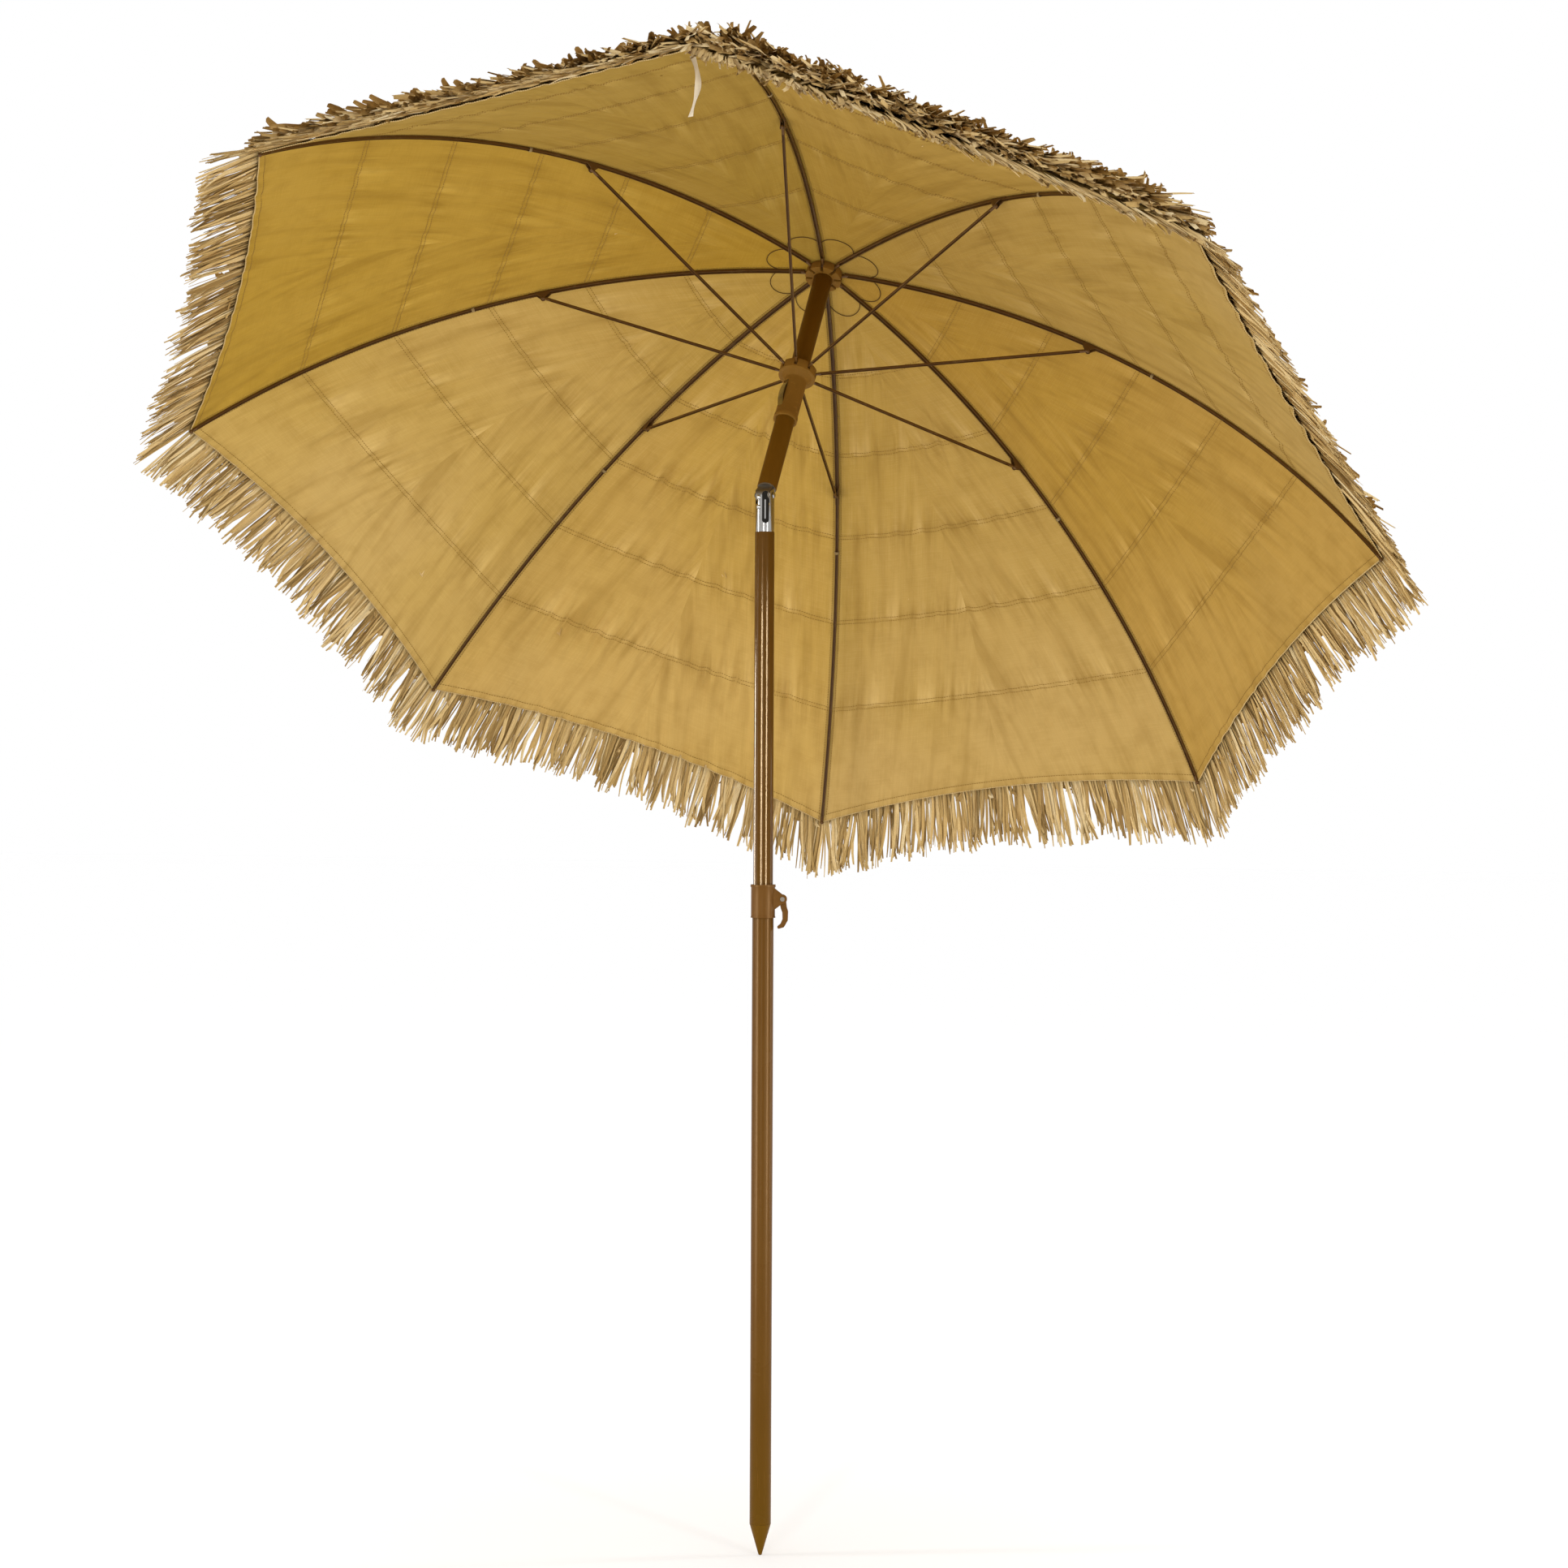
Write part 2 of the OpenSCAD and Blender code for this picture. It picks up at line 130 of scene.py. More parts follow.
class Rib:
    """One rib's frame: x away from the upper tube, y along the rim, z up the upper tube."""

    def __init__(self, number):
        self.number = number
        self.body = f"rib_{number}"
        self.turn = (number - 1) * 2 * HALF_PANEL
        self.along_rim = np.array(JOINTS[f"rib_hinge_{number}"]["axis"])
        self.outward = np.cross(self.along_rim, UPPER_AXIS)
        self.basis = np.stack([self.outward, self.along_rim, UPPER_AXIS])

    def place(self, points):
        return HINGE + np.asarray(points) @ self.basis

    def local(self, point):
        return self.basis @ (np.asarray(point) - HINGE)


RIBS = [Rib(n) for n in range(1, RIB_COUNT + 1)]


class Arc:
    """The circle that the ribs are bent along, in the plane (away from the tube, up it)."""

    def __init__(self):
        pin = RIBS[0].local(JOINTS["rib_hinge_1"]["pos_m"])
        fork = RIBS[0].local(JOINTS["stretcher_hinge_1"]["pos_m"])
        a = np.array([pin[0] + CHANNEL_RISE[0], pin[2] + CHANNEL_RISE[1]])
        b = np.array([fork[0] + FORK_RISE[0], fork[2] + FORK_RISE[1]])
        c = np.array([RIM_R, RIM_H])
        sides = np.array([b - a, c - a])
        self.centre = np.linalg.solve(sides, np.array([b @ b - a @ a, c @ c - a @ a]) / 2)
        self.radius = np.linalg.norm(a - self.centre)
        self.start = self.angle_at(pin[0] - INNER_EDGE)
        self.length = (self.start - self.angle_at(RIM_R)) * self.radius

    def angle_at(self, x):
        return math.acos((x - self.centre[0]) / self.radius)

    def point(self, s, out=0.0):
        angle = self.start - np.asarray(s) / self.radius
        r = self.radius + out
        return self.centre[0] + r * np.cos(angle), self.centre[1] + r * np.sin(angle)


ARC = Arc()
ROWS = [FIRST_ROW + k * ROW_GAP for k in range(ROW_COUNT)]


def unit(vectors):
    return vectors / np.linalg.norm(vectors, axis=-1, keepdims=True)


def hollow(v):
    """0 on a rib and 1 in the middle of a panel."""
    return 1 - (np.tan(HALF_PANEL * (1 - np.abs(v))) / math.tan(HALF_PANEL)) ** 2


def hem_at(v):
    """How far along the rib the hem is at v across a panel."""
    return ARC.length - SCALLOP * hollow(v)


def skin(s, v, out=0.0):
    """Local point of the fabric's lower face at s along the rib and v across the panels."""
    x, z = ARC.point(s, FABRIC_LIFT + out)
    turn = np.asarray(v) * HALF_PANEL
    r = x * math.cos(HALF_PANEL) / np.cos(HALF_PANEL - np.abs(turn))
    dip = SAG * hollow(v) * np.sin(np.pi * np.minimum(s / ARC.length, 1))
    return np.stack(np.broadcast_arrays(r * np.cos(turn), r * np.sin(turn), z - dip), -1)


def crease_set(row, seed):
    """Whole waves round the canopy, so that folds meet where one piece ends and the next starts."""
    rng = np.random.default_rng(seed)
    round_the_row = 2 * math.pi * ARC.point(row)[0]
    return [{"count": int(round_the_row / rng.uniform(0.024, 0.052)),
             "phase": rng.uniform(0, 6.283), "slant": rng.uniform(-5, 5),
             "wander": rng.uniform(0.5, 1.6), "beat": int(rng.integers(5, 19)),
             "height": rng.uniform(0.5, 1.0)} for _ in range(4)]


GATHERS = [(row, crease_set(row, 40 + k)) for k, row in enumerate(ROWS + [ARC.length - HEM_W])]


def crest(angle):
    """A pulled fold: a narrow crest between wide flats."""
    return np.exp(-1.7 * (1 - np.cos(angle))) - 0.35


def gathers(s, turn):
    """How far the fabric puckers up at and between its sewn rows."""
    height = 0
    for row, creases in GATHERS:
        near = np.exp(-(np.abs(s - row) / 0.075) ** 1.5)
        for c in creases:
            swing = c["wander"] * np.sin(c["beat"] * turn + 2 * c["phase"])
            share = 0.5 + 0.5 * np.sin(c["beat"] // 2 * turn + c["phase"])
            fold = crest(c["count"] * turn + c["phase"] + swing + c["slant"] * (s - row) / 0.15)
            height = height + GATHER_H * c["height"] * share * near * fold
    groove = sum(np.exp(-((s - row) / 0.004) ** 2) for row in ROWS)
    return height - 0.0006 * groove


def tension(s, v):
    """Long folds that run from a rib's tip and from its inner end into the two panels."""
    x = ARC.point(s)[0]
    lateral = np.abs(v) * HALF_PANEL * x
    back = ARC.length - s
    tip = np.exp(-((lateral - 0.40 * back) / 0.014) ** 2) * np.clip(back / 0.05, 0, 1)
    tip = tip * np.clip(1 - back / 0.42, 0, 1)
    second = np.exp(-((lateral - 0.17 * back) / 0.010) ** 2) * np.clip(1 - back / 0.3, 0, 1)
    return 0.0032 * tip - 0.0016 * second * np.clip(back / 0.05, 0, 1)


def fabric_point(rib, s, v, out=0.0):
    """Local point of the gathered fabric: it lies flat at the hub and along its rib."""
    fade = np.clip((s - 0.05) / 0.1, 0, 1)
    loose = np.clip((np.abs(v) * ARC.point(s)[0] * HALF_PANEL - 0.004) / 0.07, 0, 1)
    slack = np.where(v < 0, PANEL_SLACK[rib.number - 2], PANEL_SLACK[rib.number - 1])
    lift = fade * loose * slack * gathers(s, rib.turn + v * HALF_PANEL) + fade * tension(s, v)
    return skin(s, v, out + lift)


def surface_frame(rib, s, v, out=0.0):
    """Row-frame points with their outward and upward directions, on the smooth surface."""
    step = 1e-4
    here = skin(s, v, out)
    along = unit(skin(s + step, v, out) - here)
    across = skin(s, np.clip(v + step, -1.01, 1.01), out) - here
    up = unit(np.cross(along, across))
    return rib.place(here), along @ rib.basis, up @ rib.basis


# ---- finishes

CLOTH_INNER = (0.43, 0.245, 0.040)
CLOTH_OUTER = (0.52, 0.320, 0.078)
CLOTH_DEEP = (0.44, 0.255, 0.030)
# Pale colour of the slubs, and of the painted light that glows through the cloth beside the sewn rows
CLOTH_PALE_AND_PAINTED_LIGHT = (0.74, 0.48, 0.135)
# Darker colour of the weave, the mottle and the seam lines, and of the painted shade in the gathers and
# folds
CLOTH_DARK_AND_PAINTED_SHADE = (0.26, 0.135, 0.018)
THREAD_PITCH = 0.0011  # from one warp or weft thread to the next


class Value:
    """A number or colour that varies over a surface: an output socket that takes arithmetic."""

    def __init__(self, finish, socket):
        self.finish, self.socket = finish, socket

    def _math(self, operation, first, second=None):
        inputs = {0: first} if second is None else {0: first, 1: second}
        return self.finish.node("ShaderNodeMath", {"operation": operation}, inputs)

    def __add__(self, other): return self._math("ADD", self, other)
    def __radd__(self, other): return self._math("ADD", other, self)
    def __sub__(self, other): return self._math("SUBTRACT", self, other)
    def __rsub__(self, other): return self._math("SUBTRACT", other, self)
    def __mul__(self, other): return self._math("MULTIPLY", self, other)
    def __rmul__(self, other): return self._math("MULTIPLY", other, self)
    def sine(self): return self._math("SINE", self)


class Nodes:
    """A node tree and a short way to add nodes to it."""

    def out(self, socket):
        return socket

    def node(self, kind, settings=None, inputs=None, output=0):
        made = self.tree.nodes.new(kind)
        for key, value in (settings or {}).items():
            if key == "stops":
                self.set_stops(made.color_ramp, value)
            else:
                setattr(made, key, value)
        for key, value in (inputs or {}).items():
            self.feed(made.inputs[key], value)
        return self.out(made.outputs[output])

    def set_stops(self, ramp, stops):
        while len(ramp.elements) < len(stops):
            ramp.elements.new(1.0)
        for element, (place, colour) in zip(ramp.elements, stops):
            element.position = place
            element.color = colour

    def feed(self, socket, value):
        if isinstance(value, Value):
            value = value.socket
        if isinstance(value, bpy.types.NodeSocket):
            self.tree.links.new(value, socket)
        elif isinstance(value, tuple) and len(value) == 3 and socket.type == "RGBA":
            socket.default_value = (*value, 1)
        else:
            socket.default_value = value


class Finish(Nodes):
    """A material with one Principled shader, whose nodes give values that take arithmetic."""

    def __init__(self, name, **constants):
        self.material = bpy.data.materials.new(name)
        self.material.use_nodes = True
        self.tree = self.material.node_tree
        self.shader = self.tree.nodes["Principled BSDF"]
        for socket, value in constants.items():
            self.shader.inputs[socket.replace("_", " ")].default_value = value

    def out(self, socket):
        return Value(self, socket)

    def place(self, scale=(1, 1, 1)):
        """Object coordinates, stretched."""
        at = self.node("ShaderNodeTexCoord", output="Object")
        return self.node("ShaderNodeMapping", inputs={"Vector": at, "Scale": scale})

    def uv(self, scale=(1, 1, 1)):
        """The cloth's own coordinates in metres, stretched."""
        at = self.node("ShaderNodeUVMap", {"uv_map": "cloth"})
        return self.node("ShaderNodeMapping", inputs={"Vector": at, "Scale": scale})

    def attribute(self, name, output="Fac"):
        return self.node("ShaderNodeAttribute", {"attribute_name": name}, output=output)

    def noise(self, at, scale, detail=3.0, roughness=0.5):
        return self.node("ShaderNodeTexNoise", inputs={"Vector": at, "Scale": scale,
                         "Detail": detail, "Roughness": roughness})

    def ramp(self, factor, low, high, start=0.0, end=1.0):
        return self.node("ShaderNodeMapRange", inputs={"Value": factor, "From Min": start,
                         "From Max": end, "To Min": low, "To Max": high})

    def mix(self, factor, a, b, blend="MIX"):
        return self.node("ShaderNodeMix", {"data_type": "RGBA", "blend_type": blend},
                         {0: factor, 6: a, 7: b}, output=2)

    def axis(self, vector, name):
        return self.node("ShaderNodeSeparateXYZ", inputs={0: vector}, output=name)

    def wear(self, colour, roughness, bump, bump_depth, strength, metallic=0.0):
        """Feeds the shader with what varies over the surface."""
        normal = self.node("ShaderNodeBump", inputs={"Strength": strength,
                           "Distance": bump_depth, "Height": bump})
        for socket, value in (("Base Color", colour), ("Roughness", roughness), ("Normal", normal)):
            self.feed(self.shader.inputs[socket], value)
        if metallic:
            self.feed(self.shader.inputs["Metallic"], metallic)
        return self.material


WARM_GLEAM = (1.0, 0.84, 0.60, 1)


def enamel(name, base, gloss, scratch, patch, foot=None):
    """Enamelled tube: orange peel, faint long scratches from sliding and a few dull patches."""
    f = Finish(name, IOR=1.5, Specular_IOR_Level=0.10, Specular_Tint=WARM_GLEAM)
    at = f.place()
    long = f.place((1, 1, 0.02))
    patches = f.noise(at, 9.0, 4.0)
    streaks = f.noise(long, 900.0, 2.0)
    scratches = f.ramp(streaks, 0.0, 1.0, 0.66, 0.74) * scratch
    specks = f.ramp(f.noise(at, 420.0, 1.0), 0.0, 1.0, 0.7, 0.78)
    colour = f.mix(f.ramp(patches, 0.0, 0.45, 0.35, 0.7), base, patch)
    if foot:
        colour = f.mix(f.ramp(f.axis(at, "Z"), 0.8, 0.0, 0.0, 0.30), colour, foot)
    colour = f.mix(scratches, colour, tuple(min(1, 2.2 * c + 0.004) for c in base))
    colour = f.mix(specks * 0.25, colour, tuple(0.5 * c for c in base))
    rough = gloss + f.ramp(patches, -0.03, 0.08, 0.3, 0.7) + scratches * 0.25
    return f.wear(colour, rough, f.noise(at, 700.0, 2.0) + scratches * -0.6, 0.00004, 0.5)


def moulded(name, base, gloss):
    """Moulded plastic: fine grain, flow marks and rubbed high spots."""
    f = Finish(name, IOR=1.46, Specular_IOR_Level=0.10, Specular_Tint=WARM_GLEAM)
    at = f.place()
    flow = f.noise(f.place((1, 1, 0.35)), 60.0, 4.0)
    grain = f.noise(at, 2600.0, 2.0)
    rubbed = f.ramp(f.noise(at, 160.0, 5.0, 0.65), 0.0, 1.0, 0.58, 0.72)
    colour = f.mix(flow * 0.6, base, tuple(1.5 * c for c in base))
    colour = f.mix(rubbed * 0.3, colour, tuple(min(1, 2.4 * c + 0.01) for c in base))
    return f.wear(colour, gloss + flow * 0.12 - rubbed * 0.1, grain + flow * 0.5, 0.00006, 0.4)


def plated(name, base, gloss, grain_stretch=(1, 1, 0.05)):
    """Chromed or zinc plated steel: drawn grain, pits and a little tarnish."""
    f = Finish(name, Metallic=1.0)
    at = f.place()
    drawn = f.noise(f.place(grain_stretch), 1400.0, 2.0)
    tarnish = f.ramp(f.noise(at, 120.0, 5.0, 0.6), 0.0, 1.0, 0.5, 0.8)
    pits = f.ramp(f.noise(at, 1900.0, 1.0), 0.0, 1.0, 0.72, 0.8)
    colour = f.mix(tarnish * 0.5, base, tuple(c * s for c, s in zip(base, (0.62, 0.56, 0.48))))
    return f.wear(colour, gloss + tarnish * 0.16 + drawn * 0.06, drawn - pits, 0.00003, 0.5)


def rib_enamel():
    """Dark brown baked enamel on the ribs, rubbed paler in places."""
    f = Finish("rib_enamel", IOR=1.5, Specular_IOR_Level=0.2)
    at = f.place()
    rub = f.ramp(f.noise(at, 55.0, 6.0, 0.7), 0.0, 1.0, 0.56, 0.66)
    tone = f.noise(at, 12.0, 3.0)
    colour = f.mix(tone, (0.072, 0.029, 0.005), (0.120, 0.056, 0.013))
    colour = f.mix(rub * 0.5, colour, (0.20, 0.12, 0.045))
    return f.wear(colour, 0.30 + rub * 0.2, f.noise(at, 900.0), 0.00005, 0.4, rub * 0.25)


def canopy_cloth():
    """Woven polyester: warp and weft, faint slubs, painted shade in the pulled gathers and folds, painted
    light glowing between the thatch and on each panel.
    """
    f = Finish("canopy_cloth", Specular_IOR_Level=0.12, IOR=1.4)
    threads = 2 * math.pi / THREAD_PITCH
    uv = f.uv()
    along = f.axis(uv, "Y")
    weave = (f.axis(uv, "X") * threads).sine() * (along * threads).sine()
    slub = f.noise(f.uv((16, 700, 1)), 1.0, 2.0) + f.noise(f.uv((700, 16, 1)), 1.0, 2.0)
    dye = f.noise(f.place(), 2.2, 2.0)
    mottle = f.noise(f.place(), 30.0, 4.0, 0.6)
    row, glow, seam = f.attribute("sewn"), f.attribute("glow"), f.attribute("seam")
    pull = f.noise(f.uv((62, 3.2, 1)), 1.0, 4.0, 0.6)
    fold = f.noise(f.uv((34, 4.5, 1)), 1.0, 2.0, 0.5)
    fine_pull = f.noise(f.uv((230, 14, 1)), 1.0, 2.0)
    # Painted light: pale radial streaks that glow through the cloth on the inward side of each sewn row
    streaks = f.ramp(f.noise(f.uv((30, 2.2, 1)), 1.0, 3.0, 0.55), 0.0, 1.0, 0.50, 0.70)
    outer = f.ramp(along, 0.0, 1.0, 0.15, 0.95)
    base = f.mix(outer, CLOTH_INNER, CLOTH_OUTER)
    base = f.mix(f.ramp(dye, 0.0, 0.5, 0.40, 0.66), base, CLOTH_DEEP)
    base = f.mix(glow * streaks * 0.75, base, CLOTH_PALE_AND_PAINTED_LIGHT)
    base = f.mix(f.ramp(mottle, 0.0, 0.22, 0.45, 0.7), base, CLOTH_DARK_AND_PAINTED_SHADE)
    base = f.mix(f.ramp(slub, 0.0, 0.14, 0.95, 1.3), base, CLOTH_PALE_AND_PAINTED_LIGHT)
    base = f.mix(f.ramp(weave, 0.0, 0.12, 0.0, 1.0), base, CLOTH_DARK_AND_PAINTED_SHADE)
    # Painted shade in the gathers by the sewn rows and along the long folds between them
    base = f.mix(row * f.ramp(pull, 0.0, 0.60, 0.46, 0.68), base, CLOTH_DARK_AND_PAINTED_SHADE)
    base = f.mix(f.ramp(fold, 0.0, 0.30, 0.54, 0.70), base, CLOTH_DARK_AND_PAINTED_SHADE)
    base = f.mix(seam * 0.12, base, CLOTH_DARK_AND_PAINTED_SHADE)
    # Painted light: each panel's colour is scaled by how the light falls on that panel
    base = f.mix(1.0, base, f.attribute("dye", "Color"), "MULTIPLY")
    height = weave * 0.07 + slub * 0.05 + row * (pull * 2.4 + fine_pull * 0.8) + fold * 0.9 + mottle * 0.08
    return f.wear(base, 0.78 + mottle * 0.14, height, 0.0011, 0.7)


def raffia_fibre():
    """Dry palm fibre: every strand its own tone, with long grain and darker roots."""
    f = Finish("raffia_fibre", IOR=1.42, Specular_IOR_Level=0.25)
    tint, tuft = f.attribute("tint"), f.attribute("tuft_tone")
    reach, side = f.attribute("reach"), f.attribute("side")
    grain = f.noise(f.place(), 420.0, 4.0, 0.7)
    vein = (side * 21.0 + tint * 40.0).sine()
    tone = f.node("ShaderNodeValToRGB", {"stops": [
        (0.0, (0.22, 0.125, 0.036, 1)), (0.18, (0.38, 0.235, 0.075, 1)),
        (0.45, (0.60, 0.40, 0.145, 1)), (0.75, (0.78, 0.57, 0.26, 1)),
        (1.0, (0.88, 0.74, 0.46, 1))]}, {"Fac": tint * 0.72 + tuft * 0.28})
    colour = f.mix(f.ramp(grain, 0.0, 0.30, 0.40, 0.75), tone, (0.34, 0.20, 0.065))
    colour = f.mix(f.ramp(vein, 0.0, 0.25, 0.2, 1.0), colour, (0.38, 0.23, 0.075))
    colour = f.mix(f.ramp(reach, 0.4, 0.0, 0.0, 0.16), colour, (0.22, 0.125, 0.036))
    colour = f.mix(f.ramp(reach, 0.0, 0.25, 0.93, 1.0), colour, (0.32, 0.19, 0.065))
    return f.wear(colour, 0.5 + grain * 0.3, grain + vein * 0.35, 0.0005, 0.7)


def thread_finish(name, base):
    """Sewing thread and cord, darker between the twists."""
    f = Finish(name, Specular_IOR_Level=0.15)
    twist = f.noise(f.place(), 1500.0, 2.0)
    return f.wear(f.mix(twist, tuple(0.6 * c for c in base), base), 0.7, twist, 0.0002, 0.6)


def ribbon_finish():
    """Woven tape with a fine cross weave."""
    f = Finish("ribbon_tape", Sheen_Weight=0.4)
    uv = f.uv()
    threads = 9000.0
    cross = (f.axis(uv, "Y") * threads).sine() * (f.axis(uv, "X") * threads).sine()
    tone = f.noise(f.place(), 60.0, 3.0)
    return f.wear(f.mix(tone, (0.58, 0.47, 0.31), (0.80, 0.70, 0.52)), 0.5, cross, 0.0002, 0.5)


FINISHES = {
    "lower_pole_paint": enamel("lower_enamel", (0.108, 0.045, 0.006), 0.24, 0.25,
                               (0.130, 0.058, 0.009), (0.114, 0.053, 0.0020)),
    "mid_pole_paint": enamel("mid_enamel", (0.085, 0.035, 0.004), 0.10, 0.5,
                             (0.110, 0.050, 0.008)),
    "upper_pole_paint": enamel("upper_enamel", (0.090, 0.035, 0.002), 0.3, 0.15,
                               (0.115, 0.050, 0.004)),
    "spike": moulded("spike_plastic", (0.108, 0.050, 0.0020), 0.3),
    "clamp_plastic": moulded("clamp_plastic", (0.112, 0.048, 0.009), 0.26),
    "hub_plastic": moulded("hub_plastic", (0.150, 0.070, 0.010), 0.42),
    "bush_plastic": moulded("bush_plastic", (0.008, 0.008, 0.008), 0.45),
    "joint_chrome": plated("joint_chrome", (0.36, 0.35, 0.335), 0.12),
    "zinc_steel": plated("zinc_steel", (0.19, 0.165, 0.13), 0.4),
    "pad_brass": plated("pad_brass", (0.72, 0.52, 0.22), 0.25),
    "rib_steel": rib_enamel(),
    "canopy_fabric": canopy_cloth(),
    "raffia": raffia_fibre(),
    "ribbon": ribbon_finish(),
}
THREAD = thread_finish("sewing_thread", (0.33, 0.190, 0.036))
PATCH_CORD = thread_finish("patch_cord", (0.075, 0.035, 0.010))
HEM_CORD = thread_finish("hem_cord", (0.66, 0.47, 0.20))
TIE_THREAD = thread_finish("tie_thread", (0.36, 0.25, 0.11))


def finish_cad_nodes():
    """Gives every CAD node the finish of its slot."""
    for part in frame["record"]["subparts"]:
        mesh = frame["nodes"][part["node"]].data
        mesh.materials.clear()
        mesh.materials.append(FINISHES[part["material_slot"]])


# ---- mesh making

def show(thing):
    bpy.context.scene.collection.objects.link(thing)
    return thing


def add_mesh(name, points, faces, material, normals=None):
    mesh = bpy.data.meshes.new(name)
    mesh.from_pydata([tuple(p) for p in points], [], faces)
    mesh.materials.append(material)
    mesh.shade_smooth()
    if normals is not None:
        mesh.normals_split_custom_set_from_vertices([tuple(n) for n in normals])
    return show(bpy.data.objects.new(name, mesh))


def grid_faces(rows, cols, first=0, flip=False):
    """Quads of a grid of points stored row by row."""
    r, c = np.meshgrid(np.arange(rows - 1), np.arange(cols - 1), indexing="ij")
    a = first + (r * cols + c).ravel()
    quads = np.stack([a, a + cols, a + cols + 1, a + 1], 1)
    return (quads[:, ::-1] if flip else quads).tolist()


def ring_faces(rings, gaps, sides):
    """Quads between rings of points, and back to the first ring if there are as many gaps."""
    return [[a * sides + c, a * sides + (c + 1) % sides, b * sides + (c + 1) % sides, b * sides + c]
            for a, b in ((r, (r + 1) % rings) for r in range(gaps)) for c in range(sides)]


def grid_normals(points):
    """Unit normals of a grid of points, from its own slopes."""
    n = np.cross(np.gradient(points, axis=0), np.gradient(points, axis=1))
    return n / np.maximum(np.linalg.norm(n, axis=-1, keepdims=True), 1e-12)


def set_attribute(mesh, name, kind, values):
    attribute = mesh.attributes.new(name, kind, "POINT")
    key = {"FLOAT_VECTOR": "vector", "FLOAT_COLOR": "color"}.get(kind, "value")
    attribute.data.foreach_set(key, np.asarray(values, np.float32).ravel())


def set_uv(mesh, per_point):
    layer = mesh.uv_layers.new(name="cloth")
    index = np.zeros(len(mesh.loops), int)
    mesh.loops.foreach_get("vertex_index", index)
    layer.data.foreach_set("uv", np.asarray(per_point, np.float32)[index].ravel())


def finished(piece, body, slot, *replaced):
    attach(piece, body)
    if replaced:
        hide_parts(*replaced)
    return piece


# ---- poles and moulded parts

def turned(name, profile, at, axis, material, sides=96):
    """A turned piece: a closed loop of (radius, height) points spun round an axis."""
    axis = np.asarray(axis, float)
    side = unit(np.cross(axis, (1.0, 0.0, 0.0)))
    other = np.cross(axis, side)
    angles = np.arange(sides) * 2 * math.pi / sides
    points = [np.asarray(at) + z * axis + r * (math.cos(a) * side + math.sin(a) * other)
              for r, z in profile for a in angles]
    count = len(profile)
    piece = add_mesh(name, points, ring_faces(count, count, sides), material)
    tidy_mesh(piece, MERGE)
    piece.data.set_sharp_from_angle(angle=SHARP_EDGE)
    return piece


def tidy_mesh(piece, distance):
    """Merges doubles and turns the faces outwards."""
    mesh = bmesh.new()
    mesh.from_mesh(piece.data)
    bmesh.ops.remove_doubles(mesh, verts=mesh.verts, dist=distance)
    bmesh.ops.dissolve_degenerate(mesh, dist=distance, edges=mesh.edges)
    bmesh.ops.recalc_face_normals(mesh, faces=mesh.faces)
    mesh.to_mesh(piece.data)
    mesh.free()


def tube_profile(outer, bore, low, high, roll=0.0005):
    """A tube's wall, with its outer edges rolled over."""
    return [(bore, low), (outer - roll, low), (outer - 0.3 * roll, low + 0.3 * roll),
            (outer, low + roll), (outer, high - roll), (outer - 0.3 * roll, high - 0.3 * roll),
            (outer - roll, high), (bore, high)]


def make_poles():
    """The three tubes, turned with rolled ends."""
    low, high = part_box("lower_tube")
    mid_low, mid_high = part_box("mid_tube")
    ends = [UPPER_AXIS @ (np.array(v.co) - HINGE) for v in frame["nodes"]["upper_tube"].data.vertices]
    upright = ((0, 0, 0), (0, 0, 1))
    tubes = (("lower", high.x, LOWER_WALL, low.z, high.z, *upright),
             ("mid", mid_high.x, UPPER_WALL, mid_low.z, mid_high.z, *upright),
             ("upper", mid_high.x, UPPER_WALL, min(ends), max(ends), HINGE, UPPER_AXIS))
    for name, radius, wall, bottom, top, at, axis in tubes:
        slot = f"{name}_pole_paint"
        pole = turned(f"{name}_tube_skin", tube_profile(radius, radius - wall, bottom, top),
                      at, axis, FINISHES[slot])
        finished(pole, f"{name}_pole", slot, f"{name}_tube")


def softened(node, body, slot, width, segments, angle=math.radians(32)):
    """A copy of a CAD node with its edges rounded, as moulded and pressed parts have."""
    source = frame["nodes"][node]
    piece = show(bpy.data.objects.new(f"{node}_skin", source.data.copy()))
    if piece.data.has_custom_normals:
        with bpy.context.temp_override(object=piece, active_object=piece):
            bpy.ops.mesh.customdata_custom_splitnormals_clear()
    tidy_mesh(piece, 2 * MERGE)
    mesh = bmesh.new()
    mesh.from_mesh(piece.data)
    bmesh.ops.dissolve_limit(mesh, angle_limit=math.radians(0.5), verts=mesh.verts,
                             edges=mesh.edges)
    mesh.to_mesh(piece.data)
    mesh.free()
    bevel = piece.modifiers.new("edges", "BEVEL")
    bevel.limit_method = "ANGLE"
    bevel.width, bevel.segments, bevel.angle_limit = width, segments, angle
    bake_modifiers(piece)
    piece.data.shade_smooth()
    piece.data.set_sharp_from_angle(angle=angle)
    finished(piece, body, slot, node)


def bake_modifiers(piece):
    """Puts what the modifiers make into the mesh and removes them."""
    bpy.context.view_layer.update()
    graph = bpy.context.evaluated_depsgraph_get()
    mesh = bpy.data.meshes.new_from_object(piece.evaluated_get(graph))
    piece.modifiers.clear()
    old, piece.data = piece.data, mesh
    bpy.data.meshes.remove(old)
    return piece


def make_moulded_parts():
    """Each part's node, body and slot, the width of its rounded edges and their steps."""
    for part in (("clamp_collar", "lower_pole", "clamp_plastic", 0.0006, 2),
                 ("clamp_lever", "clamp_lever", "clamp_plastic", 0.0009, 3),
                 ("hub_crown", "upper_pole", "hub_plastic", 0.0004, 2),
                 ("runner", "runner", "hub_plastic", 0.0005, 2),
                 ("tilt_socket", "mid_pole", "joint_chrome", 0.0004, 2),
                 ("tilt_knuckle", "upper_pole", "zinc_steel", 0.0004, 2)):
        softened(*part)


